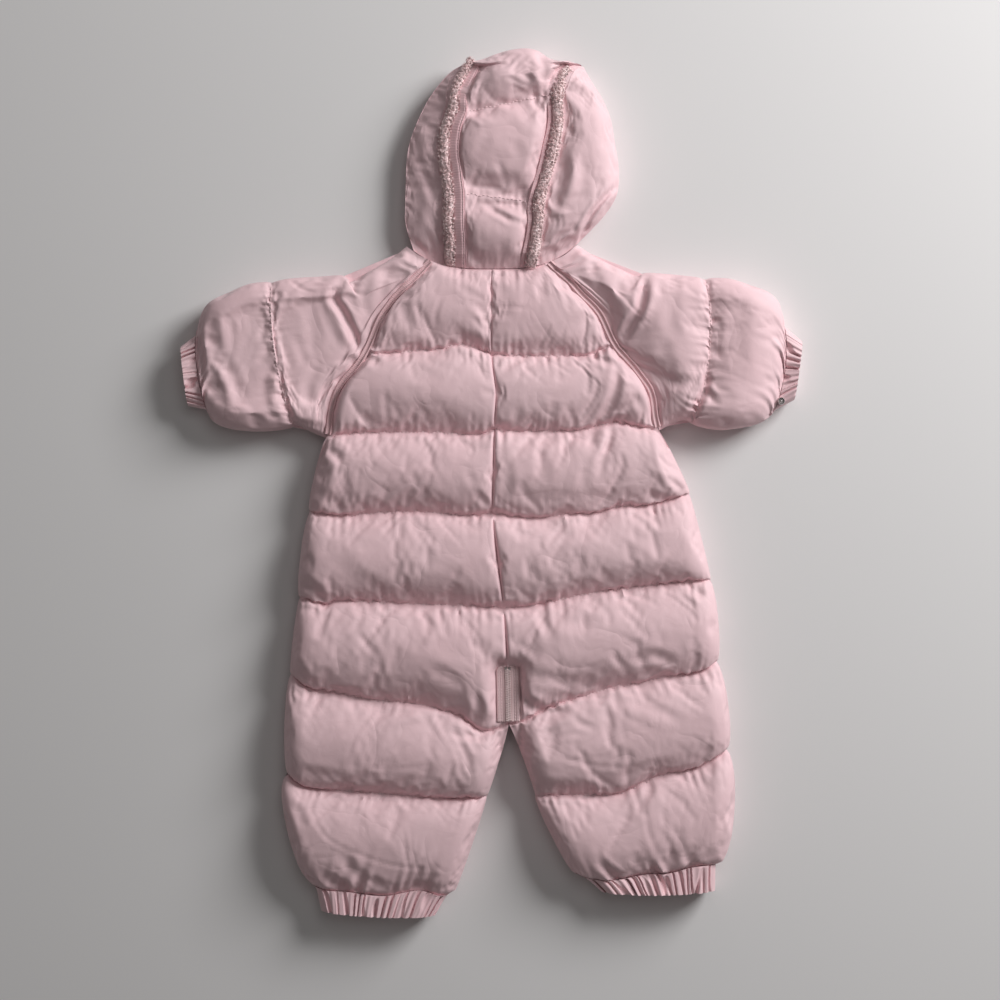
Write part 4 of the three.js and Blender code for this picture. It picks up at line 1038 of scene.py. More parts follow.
# cuffs, gathered on elastic; the folds run to the mouth
cuffs = {
    "arm_left": {
        "a": (-243.4, 121), "b": (-234.5, 60), "bow": (-2.5, 0), "folds": 8, "rise": 10,
        "mouthA": (-255.5, 112), "mouthB": (-249.5, 63), "mouthBow": (0, 0), "seed": 3,
        "flat": (0.190, 0.016), "on": "sleeve_left_cloth",
    },
    "arm_right": {
        "a": (240.9, 128.5), "b": (232.5, 59), "bow": (4.5, 0), "folds": 8, "rise": 10,
        "mouthA": (255.5, 116), "mouthB": (249, 68), "mouthBow": (0, 0), "seed": 5,
        "flat": (0.190, 0.016), "on": "sleeve_right_cloth",
    },
    "leg_left": {
        "a": (-146, -330.4), "b": (-33, -335.6), "bow": (0, -4), "folds": 14, "rise": 12,
        "mouthA": (-140, -351.5), "mouthB": (-46, -355.5), "mouthBow": (0, -2.5), "seed": 8,
        "flat": (0.300, 0.024), "on": "back_left_cloth",
    },
    "leg_right": {
        "a": (72, -321.4), "b": (184.5, -313.6), "bow": (0, -3), "folds": 14, "rise": 12,
        "mouthA": (90, -336), "mouthB": (184, -335), "mouthBow": (0, -2.5), "seed": 13,
        "flat": (0.300, 0.024), "on": "back_right_cloth",
    },
}
cuffPoints = ("a", "b", "bow", "mouthA", "mouthB", "mouthBow")
cuffMesh = {"perFold": 16, "rows": 15, "hollow": 4.2, "round": 16.0}


def addCuff(name):
    cuff = {key: np.array(value, float) if key in cuffPoints else value for key, value in cuffs[name].items()}
    count = cuff["folds"] * cuffMesh["perFold"]
    stops = np.linspace(0, 1, count + 1)
    lowers = np.linspace(0, 1, count // 2 + 1)
    outer, inner = [], []
    wide = math.dist(cuff["a"], cuff["b"])
    for t in np.linspace(0, 1, cuffMesh["rows"]):
        a, b = mix(cuff["a"], cuff["mouthA"], t), mix(cuff["b"], cuff["mouthB"], t)
        bow = mix(cuff["bow"], cuff["mouthBow"], t)

        def plan(c):
            flat = mix(a, b, c[:, None]) + np.outer(4 * c * (1 - c), bow)
            if name.startswith("leg"):
                end = smoothPath(halves[name[4:]]["lines"][7])
                order = np.argsort(end[:, 0])
                above = np.interp(flat[:, 0], end[order, 0], end[order, 1]) - 0.4
                flat[:, 1] += (above - flat[:, 1]) * (1 - t) ** 2
            return flat

        def folds(c):  # broad ridges with narrow valleys, of uneven size
            s = c * wide
            shifted = c + 0.34 / cuff["folds"] * wavy(s + 5 * t, cuff["seed"], 14, 45)
            valley = clip01((np.cos(2 * math.pi * cuff["folds"] * shifted) - 0.2) / 0.8) ** 1.1
            size = np.clip(1 + 0.45 * wavy(s, cuff["seed"] + 3, 12, 40, 5), 0.35, 1.8)
            small = 0.25 * wavy(s + 2 * t, cuff["seed"] + 1, 4, 9)
            return mix(1.1, 1.6, t) * (0.8 - 2.3 * size * valley + small)

        ring, core = tubeRings(
            plan, float(np.linalg.norm(a - b)), mix(cuff["rise"] - 2, cuff["rise"], t),
            mix(stack["underSeam"], stack["under"], t), (stack["hem"], stack["hem"]),
            cuffMesh["hollow"], stops, lowers, cuffMesh["round"], folds,
        )
        outer.append(ring)
        inner.append(core)
    points, faces = wallMesh(np.array(outer), np.array(inner)[:: len(outer) - 1], True)
    made = makeObject(f"cuff_{name}_cloth", points, faces, cuffPink)
    sewOn(made, f"cuff_{name}")
    tellArea(made)


for name in cuffs:
    addCuff(name)
print("cuffs made")


# hood, from the neck up to the top of the head: outline, seams with the centre piece and face opening
hoodRows = {
    "leftEdge": [(-64, 190.3), (-70.5, 212), (-71, 228), (-70.5, 246), (-70, 262), (-67.5, 279),
                 (-61, 297), (-52.5, 314), (-43, 327.5), (-33, 338), (-22, 344.5)],
    "leftSeam": [(-21, 175.7), (-21, 196), (-22, 214), (-22, 236), (-24, 254), (-26, 270),
                 (-24.5, 288), (-20, 303), (-19, 318), (-14, 330), (-9, 341)],
    "rightSeam": [(27, 176.2), (31, 196), (34, 214), (34, 229), (42, 257), (47, 278),
                  (50, 298), (49, 317), (52, 328), (56, 337), (62, 342.5)],
    "rightEdge": [(66, 192), (80, 206), (94, 221), (103.5, 238), (104.5, 259), (101.5, 279),
                  (98, 299), (91, 316), (84, 327), (79, 335.5), (76, 341.5)],
    "leftRim": [(-1.2, 175.3), (-1.2, 193), (-10, 202), (-32, 219), (-42, 243), (-42, 266),
                (-37, 284), (-30, 297), (-23, 306), (-17, 311), (-12, 314)],
    "rightRim": [(1.2, 175.3), (1.2, 193), (12, 202), (36, 219), (58, 245), (64, 268),
                 (61, 287), (52, 301), (44, 309), (38, 313), (33, 316)],
    "side": [6, 17, 21, 22, 22, 22, 21, 19, 17, 14, 10],
    "centre": [6, 20, 21, 14, 22, 25, 23, 15, 21, 24, 19],
}
hoodTop = [(-21.4, 345.3), (-8, 347.5), (2, 351.5), (15, 355.5), (28, 357),
           (38, 355), (46, 349.5), (54, 345.5), (64, 345.4), (74, 343.2)]
hoodMesh = {
    "steps": 6, "upper": 34, "lower": 22, "centre": 30, "quiltRows": (3, 7),
    "margins": (1.0, 4.8), "rounds": (26.0, 13.0), "roll": 10.0,
    "sideMargin": {"left": 18.0, "right": 11.0},
    "fall": {"left": 0.86, "right": 0.2},
    "full": {"left": 0.62, "right": 1.0},
    "seamStops": [0, 0.06, 0.22, 0.8, 1],
    "seamRise": {"left": [6, 12, 18.5, 17, 9], "right": [6, 12, 16, 15, 9]},
    "shelf": {"left": (-7.0, 18.0), "right": (1.5, 9.0)},
}


def hoodAt(column, t):
    return curveAt(hoodRows[column], t)


# height of the seams between the hood's pieces
def seamRise(side, t):
    return np.interp(t, hoodMesh["seamStops"], hoodMesh["seamRise"][side])


# how the shelf under the flange and the fur slopes away from the seam
def shelfSlope(side, far):
    rise, reach = hoodMesh["shelf"][side]
    return rise * clip01(np.abs(far) / reach)


def hoodSideGrids(side):
    outer, inner, free = [], [], []
    margin = hoodMesh["sideMargin"][side]
    for i, t in enumerate(np.linspace(0, 1, 10 * hoodMesh["steps"] + 1)):
        seam, edge, rim = (hoodAt(side + part, t) for part in ("Seam", "Edge", "Rim"))
        rise = float(hoodAt("side", t)[0]) * hoodMesh["full"][side]
        wide, deep = np.linalg.norm(edge - seam), np.linalg.norm(rim - edge)
        flatTo = min(margin, wide - 5)
        d = np.r_[np.linspace(0, flatTo, 5)[:-1], mix(flatTo, wide, spread(hoodMesh["upper"] - 4, 0.5))]
        fall = 1 - hoodMesh["fall"][side] * clip01((d - flatTo) / (wide - flatTo))
        shelf = float(seamRise(side, t)) + shelfSlope(side, d)
        high = mix(shelf, rise * fall, roundUp((d - flatTo) / hoodMesh["roll"]))
        high = mix(stack["hem"], high, roundUp((wide - d) / sleeveMesh["round"]))
        upper = np.column_stack([mix(seam, edge, (d / wide)[:, None]), stack["middle"] + stack["gap"] + high])
        core = mix(edge, seam, wallThick / wide)
        flatIn = np.full(len(d), stack["middle"] + stack["gap"])
        upperIn = np.column_stack([mix(seam, core, (d / wide)[:, None]), flatIn])
        e = spread(hoodMesh["lower"], 0.6) * deep
        under = stack["underNeck" if i == 0 else "under"]
        thick = mix(stack["hem"], under, roundUp(e / sleeveMesh["round"]))
        low = mix(stack["seamHigh"], thick, roundUp((deep - e - 5) / hoodMesh["roll"]))
        z = stack["middle"] - stack["gap"] - np.minimum(low, stack["middle"] - stack["gap"])
        lower = np.column_stack([mix(edge, rim, (e / deep)[:, None]), z])
        core = mix(edge, rim, wallThick / deep)
        flatIn = np.full(len(e), stack["middle"] - stack["gap"])
        lowerIn = np.column_stack([mix(core, rim, (e / deep)[:, None]), flatIn])
        outer.append(np.vstack([upper, lower]))
        inner.append(np.vstack([upperIn, lowerIn]))
        free.append(np.r_[(d > flatTo + 0.5) & (d < wide - 0.5), np.zeros(len(e), bool)])
    outer, inner, free = np.array(outer), np.array(inner), np.array(free)
    for grid in (outer, inner):
        grid[0, :, 1] = neckY(grid[0, :, 0]) + 0.3
    free[[0, 1, -1]] = False
    return outer, inner, free


hoodCreases = {
    "left": [
        ([(-48, 230), (-45, 208), (-40, 190)], 2.4, 6),
        ([(-51, 216), (-45, 196), (-38, 180)], -1.3, 3.5),
        ([(-65, 278), (-56, 255), (-45, 230)], 0.9, 3.5),
        ([(-60, 250), (-50, 226), (-43, 212)], -0.8, 4),
        ([(-55, 205), (-45, 190), (-35, 179)], 1.6, 4),
        ([(-66, 196), (-56, 190), (-45, 182)], 1.8, 4),
        ([(-66, 240), (-60, 215)], 0.8, 6),
        ([(-58, 300), (-50, 290), (-44, 284)], 0.7, 5),
        ([(-44, 322), (-42, 308)], 0.7, 5),
    ],
    "right": [
        ([(58, 268), (57, 247), (50, 226)], 2.6, 5.5),
        ([(67, 268), (66, 245), (56, 216)], -1.1, 5),
        ([(62, 291), (66, 283)], 2.2, 3.2),
        ([(75, 262), (77, 245), (73, 228)], 1.0, 5.5),
        ([(87, 258), (87, 236)], 0.9, 5.5),
        ([(66, 208), (70, 200), (60, 195), (46, 186)], 2.2, 3.6),
        ([(72, 204), (64, 200), (52, 190)], -1.2, 3),
        ([(104, 245), (91, 231), (81, 218), (72, 200)], 4.5, 2.6),
        ([(108, 236), (99, 223), (88, 211)], 3.0, 5),
        ([(70, 322), (78, 319), (84, 320)], 1.2, 4.5),
        ([(60, 322), (68, 331), (77, 338)], 1.3, 2.6),
        ([(96, 290), (90, 272)], 0.7, 6),
    ],
    "centre": [
        ([(-20, 303), (-8, 301), (5, 301)], 2.4, 5),
        ([(-18, 298), (-12, 294), (-8, 290)], -0.9, 2),
        ([(-18, 312), (-14, 322), (-11, 330)], -1.5, 3.4),
        ([(-11, 322), (-5, 330), (2, 336)], 1.4, 5),
        ([(-10, 335), (-2, 341), (6, 346)], 1.4, 4),
        ([(38, 352), (42, 340), (45, 324)], 2.8, 4.6),
        ([(32, 335), (38, 327), (44, 320)], -1.5, 2.8),
        ([(28, 326), (34, 318), (42, 314)], 1.5, 3.2),
        ([(38, 300), (43, 307), (48, 315)], -1.4, 2.8),
        ([(34, 316), (39, 306), (45, 294)], 2.0, 4),
        ([(12, 310), (24, 304), (36, 292)], 0.9, 5),
        ([(-12, 246), (2, 244), (16, 246), (27, 233)], 2.0, 5.5),
        ([(-12, 232), (8, 231), (29, 229)], -1.5, 2.4),
        ([(2, 225), (14, 219), (29, 215)], -1.2, 3),
        ([(-6, 226), (5, 220), (18, 212)], 2.0, 3),
        ([(-20, 192), (-14, 186), (-7, 182)], 1.9, 4.5),
        ([(15, 236), (10, 250), (5, 262)], 0.9, 3),
        ([(-19, 236), (-14, 248), (-9, 256)], 0.9, 2.6),
        ([(0, 290), (-8, 274), (-10, 262)], 0.6, 5),
        ([(8, 196), (10, 184)], 0.8, 4),
        ([(18, 280), (24, 262)], 0.6, 5),
    ],
}


hoodInflation = {**inflation, "pressure": 2.5, "cap": 2.0}


def addHoodSide(side):
    outer, inner, free = hoodSideGrids(side)
    loose = slackNear(np.linalg.norm(outer - outer[:, :1], axis=2), 30)
    outer = relaxedWall(f"pad hood {side}", outer, inner, free, loose, hoodInflation)
    upper = outer[:, : 2 * hoodMesh["upper"] - 1]
    far = np.linalg.norm(upper - upper[:1], axis=2)
    pucker(upper, far, np.abs(upper[..., 0]), 501 if side == "left" else 551, neckPucker)
    upper[..., 2] += creaseField(upper[..., 0], upper[..., 1], hoodCreases[side])
    upper[..., 2] = np.maximum(upper[..., 2], stack["middle"] + stack["gap"] + stack["least"])
    points, faces = wallMesh(outer, finer(inner))
    made = makeObject(f"hood_side_{side}_cloth", points, faces, palePink)
    sewOn(made, f"hood_side_{side}")


def hoodCentreGrids():
    u = spread(hoodMesh["centre"], 0.55)
    outer, inner, free = [], [], []

    def addRow(flat, flatIn, high, sign, loose):
        outer.append(np.column_stack([flat, stack["middle"] + sign * (stack["gap"] + high)]))
        inner.append(np.column_stack([flatIn, np.full(len(u), stack["middle"] + sign * stack["gap"])]))
        free.append(loose)

    places = np.linspace(0, 1, 10 * hoodMesh["steps"] + 1)
    for i, t in enumerate(places):
        left, right = hoodAt("leftSeam", t), hoodAt("rightSeam", t)
        wide = np.linalg.norm(right - left)
        flat = mix(left, right, u[:, None])
        if i == 0:
            flat[:, 1] = neckY(flat[:, 0]) + 0.3
        near = [u * wide - hoodMesh["margins"][0], (1 - u) * wide - hoodMesh["margins"][1]]
        full = roundUp(near[0] / hoodMesh["rounds"][0]) * roundUp(near[1] / hoodMesh["rounds"][1])
        near = np.minimum(*near)
        low = mix(float(seamRise("left", t)), float(seamRise("right", t)), u)
        high = mix(low, np.maximum(float(hoodAt("centre", t)[0]), low - 2), full)
        sewn = i < 2 or i in [row * hoodMesh["steps"] for row in hoodMesh["quiltRows"]]
        addRow(flat, flat, high, 1, (near > 0) & (not sewn))
    start = mix(hoodAt("leftSeam", 1), hoodAt("rightSeam", 1), u[:, None])
    top = curveAt(hoodTop, u)
    end = mix(hoodAt("leftRim", 1), hoodAt("rightRim", 1), u[:, None])
    crown = mix(9.0, 19.0, roundUp(np.minimum(u, 1 - u) * 6))
    for t in (0.2, 0.4, 0.58, 0.74, 0.86, 0.95, 1.0):
        high = mix(stack["hem"], crown, roundUp(1 - t))
        inside = mix(start, top, t - (0.16 if t == 1 else 0))
        addRow(mix(start, top, t), inside, high, 1, np.full(len(u), t < 0.9))
    most = stack["middle"] - stack["gap"]
    for t in (0, 0.04, 0.1, 0.18, 0.3, 0.45, 0.62, 0.8, 0.92, 1.0):
        thick = max(min(stack["under"] * float(roundUp(t * 2)), most), stack["hem"])
        if t > 0.8:
            thick = mix(most, stack["seamHigh"], (t - 0.8) * 5)
        inside = mix(top, end, t + (0.07 if t == 0 else 0))
        addRow(mix(top, end, t), inside, np.full(len(u), thick), -1, np.zeros(len(u), bool))
    return np.array(outer), np.array(inner), np.array(free)


def addHoodCentre():
    outer, inner, free = hoodCentreGrids()
    sewn = [0] + [row * hoodMesh["steps"] for row in hoodMesh["quiltRows"]]
    away = np.min([np.linalg.norm(outer - outer[row], axis=2) for row in sewn], axis=0)
    outer = relaxedWall("pad hood centre", outer, inner, free, slackNear(away))
    upper = outer[: 2 * (10 * hoodMesh["steps"] + 6)]
    for n, row in enumerate(sewn):
        size = hoodPucker if row else neckPucker
        pucker(upper, np.linalg.norm(upper - upper[2 * row], axis=2), upper[..., 0] + 200, 601 + 9 * n, size)
    upper[..., 2] += creaseField(upper[..., 0], upper[..., 1], hoodCreases["centre"])
    upper[..., 2] = np.maximum(upper[..., 2], stack["middle"] + stack["gap"] + stack["least"])
    for row in hoodMesh["quiltRows"]:
        sewnRows[f"hood {row}"] = outer[2 * row * hoodMesh["steps"], 3:-4].copy()
    points, faces = wallMesh(outer, finer(inner))
    made = makeObject("hood_centre_cloth", points, faces, palePink)
    sewOn(made, "hood_centre")


addHoodCentre()
for side in ("left", "right"):
    addHoodSide(side)
print("hood made")


# trims: strips swept along a path, offsets to its left in mm, heights over the floor
def sweep(path, offsets, tops, bottoms):
    tangent, normal = headingsOf(path)
    offsets = np.broadcast_to(offsets, (len(path), np.shape(offsets)[-1]))
    flat = path[:, None] + normal[:, None] * offsets[..., None]
    upper = np.dstack([flat, np.broadcast_to(tops, offsets.shape)])
    lower = np.dstack([flat, np.broadcast_to(bottoms, offsets.shape)])
    return wallMesh(upper, lower)


# ribbed tape over each raglan seam: two rolled edges, cross ribs and a row of holes along each edge
raglanTape = {"wide": 6.0, "thick": 1.4, "base": 21.35, "rib": 1.5, "holes": 2.4}


def addRaglanTape(side):
    seam = curveAt(halves[side]["raglan"], np.linspace(0, 0.8, 90))
    path = along(seam, np.linspace(0.004, 0.985, int(lengthOf(seam) / 0.5)))
    s = np.linspace(0, lengthOf(path), len(path))[:, None]
    o = np.linspace(-1, 1, 21)[None]
    roll = 0.45 + 0.75 * np.exp(-(((np.abs(o) - 0.62) / 0.22) ** 2)) - 0.3 * np.exp(-((o / 0.2) ** 2))
    hole = np.exp(-(((np.abs(o) - 0.3) / 0.09) ** 2)) * (np.cos(2 * math.pi * s / raglanTape["holes"]) > 0.45)
    rib = 0.1 * np.cos(2 * math.pi * (s + 0.6 * o) / raglanTape["rib"])
    edge = roundUp((1 - np.abs(o)) * 6)
    top = raglanTape["base"] + (raglanTape["thick"] * roll + rib - 0.35 * hole) * edge + 0.12
    top = top + 0.25 * wavy(s, 41, 14, 40, 5)
    offsets = o * raglanTape["wide"] / 2 + 0.25 * wavy(s, 42, 25, 60, 5)
    points, faces = sweep(path, offsets, top, raglanTape["base"] - 0.1)
    made = makeObject(f"raglan_tape_{side}_cloth", points, faces, tapePink)
    sewOn(made, f"raglan_tape_{side}")
    tellArea(made)


for side in ("left", "right"):
    addRaglanTape(side)


# folded strip in each hood seam, and the sherpa pile beside it
hoodTrims = {
    "left": {"flange": (0.6, 9.4), "fur": (9.6, 17.0), "end": 1.0, "seed": 71, "tufts": 4, "patchy": 0.0},
    "right": {"flange": (0.6, 4.2), "fur": (-0.6, -9.0), "end": 0.985, "seed": 83, "tufts": 4, "patchy": 0.5},
}
flangeShape = {"thick": 1.8, "rib": 2.1}
furShape = {
    "core": 3.4, "step": 1.9, "strands": 18, "long": (1.6, 3.2), "thick": 0.3, "tuft": 2.7, "tuftHigh": 0.6,
}


# floor height of the cloth under the trims, by their share of the seam's length
def trimBase(side, share, offsets=0):
    return stack["middle"] + stack["gap"] + seamRise(side, share) + 0.15 + shelfSlope(side, offsets)


# the left trims draw in towards the top of the head
def drawnIn(side, share):
    return 1 - (0.3 * clip01((share - 0.62) / 0.38) if side == "left" else 0)


def hoodSeamPath(side, end, step=0.6):
    path = hoodAt(side + "Seam", np.linspace(0.004, end, 160))
    return along(path, np.linspace(0, 1, int(lengthOf(path) / step)))


def addFlange(side):
    trim = hoodTrims[side]
    path = hoodSeamPath(side, trim["end"])
    s = np.linspace(0, lengthOf(path), len(path))[:, None]
    c = np.linspace(0, 1, 19)[None]
    near, far = trim["flange"]
    pinch = np.exp(-(((path[:, 1:] - 304) / 6) ** 2))
    top = flangeShape["thick"] * (0.45 + 0.55 * roundUp(c * 2.2)) * roundUp((1 - c) * 7) * (1 - 0.3 * pinch)
    top = top + 0.09 * np.cos(2 * math.pi * s / flangeShape["rib"])
    top = top + 0.35 * wavy(s + 3 * c, trim["seed"], 16, 45, 6) * c
    top = top - 0.5 * np.exp(-(((c - 0.16) / 0.05) ** 2))
    offsets = near + (far - near) * c * (1 - 0.12 * pinch) + 0.35 * wavy(s, trim["seed"] + 1, 20, 60, 5) * c
    offsets = offsets * drawnIn(side, s / s[-1])
    base = trimBase(side, s / s[-1], offsets if side == "left" else 0)
    points, faces = sweep(path, offsets, base + np.maximum(top, 0.15), base)
    made = makeObject(f"hood_flange_{side}_cloth", points, faces, flangeShadePink)
    sewOn(made, f"hood_flange_{side}")
    tellArea(made)


# tapering strands, three-sided, in curly tufts that lean along the strip
def strandMesh(roots, middles, tips, thick, rng):
    count = len(roots)
    angle = rng.uniform(0, 2 * math.pi, count)
    lean = tips - roots
    lean /= np.linalg.norm(lean, axis=1, keepdims=True)
    side = np.cross(lean, np.array([0.3, 0.2, 0.93]))
    side /= np.maximum(np.linalg.norm(side, axis=1, keepdims=True), 1e-6)
    other = np.cross(lean, side)
    rings = []
    for centre, size in ((roots, 1.0), (middles, 0.75)):
        for k in range(3):
            a = (angle + k * 2 * math.pi / 3)[:, None]
            rings.append(centre + (side * np.cos(a) + other * np.sin(a)) * thick * size / 2)
    points = np.stack(rings + [tips], axis=1).reshape(-1, 3)
    base = np.arange(count)[:, None] * 7
    quads = np.concatenate([base + np.array([k, (k + 1) % 3, 3 + (k + 1) % 3, 3 + k]) for k in range(3)])
    tops = [base + np.array([3 + k, 3 + (k + 1) % 3, 6]) for k in range(3)]
    ends = np.concatenate(tops + [base + np.array([2, 1, 0])])
    return points, quads.tolist() + ends.tolist()


def addFur(side):
    trim = hoodTrims[side]
    rng = np.random.default_rng(trim["seed"])
    path = hoodSeamPath(side, 1.0)
    if side == "left":  # the pile stands up over the crown at the top
        path = np.vstack([path, path[-1] + (path[-1] - path[-2]) * np.arange(1, 6)[:, None]])
    near, far = trim["fur"]
    s = np.linspace(0, lengthOf(path), len(path))[:, None]
    c = np.linspace(0, 1, 25)[None]
    full = roundUp(s / 4) * roundUp((s[-1] - s) / 4)
    dome = furShape["core"] * np.sqrt(np.clip(1 - (2 * c - 1) ** 2, 0, 1)) * full
    turn = 2 * math.pi * (s + 2.2 * c + 0.5 * wavy(s + 9 * c, trim["seed"] + 3, 5, 12)) / furShape["tuft"]
    lump = 0.5 + 0.5 * np.cos(turn) + 0.3 * wavy(s - 2 * c, trim["seed"] + 4, 1.4, 3.1)
    dome = dome + furShape["tuftHigh"] * (lump - 0.5) * np.sqrt(np.clip(1 - (2 * c - 1) ** 4, 0, 1)) * full
    offsets = (near + (far - near) * c) * drawnIn(side, s / s[-1])
    offsets = offsets + 0.5 * wavy(s, trim["seed"] + 2, 18, 50, 5)
    base = trimBase(side, s / s[-1], offsets)
    points, faces = sweep(path, offsets, base + 0.4 + np.maximum(dome, 0), base)
    core = makeObject(f"hood_fur_{side}_backing", points, faces, sherpa)
    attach(core, "suit")
    tangent, normal = headingsOf(path)
    total = float(s[-1, 0])
    roots, middles, tips = [], [], []
    for at in np.arange(1.2, total - 0.8, furShape["step"]):
        worn = 1 - trim["patchy"] * float(clip01(0.5 - 0.6 * wavy(np.array(at), trim["seed"] + 5, 20, 60, 5)))
        for lane in range(trim["tufts"]):
            c = (lane + 0.5 + rng.uniform(-0.3, 0.3)) / trim["tufts"]
            here = at + rng.uniform(-0.8, 0.8) + 1.6 * c
            i = int(np.clip(here / total * (len(path) - 1), 0, len(path) - 1))
            share = here / total
            off = (near + (far - near) * c) * float(drawnIn(side, share))
            centre = path[i] + normal[i] * off
            crown = furShape["core"] * math.sqrt(max(1 - (2 * c - 1) ** 2, 0))
            high = float(trimBase(side, share, off)) + 0.3 + crown
            outward = normal[i] * np.sign(far - near) * (2 * c - 1)
            heading = np.append(outward * 1.2 + tangent[i] * 0.5, 0.45) + rng.normal(0, 0.18, 3)
            heading /= np.linalg.norm(heading)
            long = rng.uniform(*furShape["long"]) * worn
            count = furShape["strands"]
            spot = centre + rng.normal(0, 0.75, (count, 2))
            root = np.column_stack([spot, high - 0.5 + rng.normal(0, 0.2, count)])
            tip = np.append(centre, high) + heading * long + rng.normal(0, 0.3, (count, 3))
            bend = (root + tip) / 2 + rng.normal(0, 0.3, (count, 3)) + np.array([0, 0, 0.4])
            roots.append(root)
            middles.append(bend)
            tips.append(tip)
    strands = (np.vstack(part) for part in (roots, middles, tips))
    points, faces = strandMesh(*strands, furShape["thick"], rng)
    pile = makeObject(f"hood_fur_{side}_pile", points, faces, sherpa, 180)
    sewOn(pile, f"hood_fur_{side}")
    long = round(lengthOf(path) * mm, 3)
    print(core.name, len(roots), "tufts")


for side in ("left", "right"):
    addFlange(side)
    addFur(side)
print("hood trims made")


# zips: woven tape with a beaded edge, and two rows of moulded teeth in turn
zips = {
    "back": {"top": -150.0, "low": -196.4, "half": 9.5, "base": 23.3, "sign": 1, "chainTop": -153.0},
    "front": {"top": 143.5, "low": -196.4, "half": 9.5, "base": 7.65, "sign": -1, "chainTop": 141.0},
}
teeth = {"pitch": 1.45, "wide": 3.0, "long": 0.95, "high": 1.5, "apart": 0.95}


# a moulded block of three rings, each with its height and its share of the size
def addBlock(points, faces, x, y, wide, long, rings):
    b = len(points)
    for z, size in rings:
        w, l = wide * size, long * size
        points += [(x - w, y - l, z), (x + w, y - l, z), (x + w, y + l, z), (x - w, y + l, z)]
    for ring in (b, b + 4):
        for k in range(4):
            m = (k + 1) % 4
            faces.append([ring + k, ring + m, ring + 4 + m, ring + 4 + k])
    faces += [[b + 8, b + 9, b + 10, b + 11], [b + 3, b + 2, b + 1, b]]


def addZip(name):
    spec = zips[name]
    y = np.arange(spec["top"], spec["low"], -0.75)
    d = (spec["top"] - y)[:, None]
    half = spec["half"] - 4.5 + 4.5 * roundUp(np.clip(d / 4.5, 0.02, 1))
    o = np.linspace(-1, 1, 33)[None]
    a = np.abs(o) * spec["half"]
    top = 0.8 + 0.45 * (a > 6.6) + 0.55 * np.exp(-(((a - 3.2) / 0.55) ** 2))
    top = top - 0.35 * np.exp(-(((a - 7.9) / 0.3) ** 2))
    top = top + 0.08 * np.cos(2 * math.pi * y[:, None] / 1.5) * (a > 3.8)
    top = top * roundUp((1 - np.abs(o)) * 8) * roundUp((d + 0.15) / 1.2) + 0.12
    path = np.column_stack([centreX(y), y])
    sign = spec["sign"]
    points, faces = sweep(path, o * half, spec["base"] + sign * top, spec["base"])
    tape = makeObject(f"zip_tape_{name}_cloth", points, faces, zipPink)
    sewOn(tape, f"zip_tape_{name}")
    tellArea(tape)
    points, faces = [], []
    level = spec["base"] + sign * 0.75
    for n, at in enumerate(np.arange(spec["chainTop"], spec["low"] + 1, -teeth["pitch"] / 2)):
        x = float(centreX(at)) + (teeth["apart"] if n % 2 else -teeth["apart"])
        rings = [(level + sign * teeth["high"] * part, size) for part, size in ((0, 1), (0.65, 1), (1, 0.62))]
        addBlock(points, faces, x, at, teeth["wide"] / 2, teeth["long"] / 2, rings)
    faces = faces if sign > 0 else [face[::-1] for face in faces]
    chain = makeObject(f"zip_chain_{name}_teeth", np.array(points), faces, teethPink, 35)
    sewOn(chain, f"zip_chain_{name}")


for name in zips:
    addZip(name)


# stitches: short tapered lengths of thread lying along a line
thread = {"long": 2.4, "pitch": 3.2, "thick": 0.65}


def stitchesAlong(line, pitch=None):
    long = lengthOf(line)
    count = int(long / (pitch or thread["pitch"]))
    mid = along(line, (np.arange(count) + 0.5) / count)
    ahead = along(line, (np.arange(count) + 0.7) / count) - along(line, (np.arange(count) + 0.3) / count)
    ahead /= np.linalg.norm(ahead, axis=1, keepdims=True)
    aside = np.cross(ahead, [0.0, 0.0, 1.0])
    aside /= np.linalg.norm(aside, axis=1, keepdims=True)
    above = np.cross(aside, ahead)
    size = min(thread["long"], (pitch or thread["pitch"]) * 0.75)
    points, faces = [], []
    for n in range(count):
        b = 14 * n
        points.append(mid[n] - ahead[n] * size / 2)
        for end in (-0.36, 0.36):
            for k in range(6):
                a = k * math.pi / 3
                out = aside[n] * math.cos(a) + above[n] * math.sin(a)
                points.append(mid[n] + ahead[n] * end * size + out * thread["thick"] / 2)
        points.append(mid[n] + ahead[n] * size / 2)
        for k in range(6):
            m = (k + 1) % 6
            faces.append([b, b + 1 + m, b + 1 + k])
            faces.append([b + 1 + k, b + 1 + m, b + 7 + m, b + 7 + k])
            faces.append([b + 13, b + 7 + k, b + 7 + m])
    return points, faces


def addStitches(name, lines, pitch=None):
    points, faces = [], []
    for line in lines:
        more, moreFaces = stitchesAlong(np.asarray(line), pitch)
        start = len(points)
        points += more
        faces += [[start + i for i in face] for face in moreFaces]
    made = makeObject(name, np.array(points), faces, threadPink, 180)
    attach(made, "suit")
    print(name, len(faces), "faces")


def raised(line, by):
    line = np.array(line, float)
    line[:, 2] += by
    return line


addStitches("quilting_stitches", [raised(line, 0.22) for line in sewnRows.values()])


def offsetLine(path, off, z):
    return np.column_stack([path + headingsOf(path)[1] * off, np.full(len(path), z)])


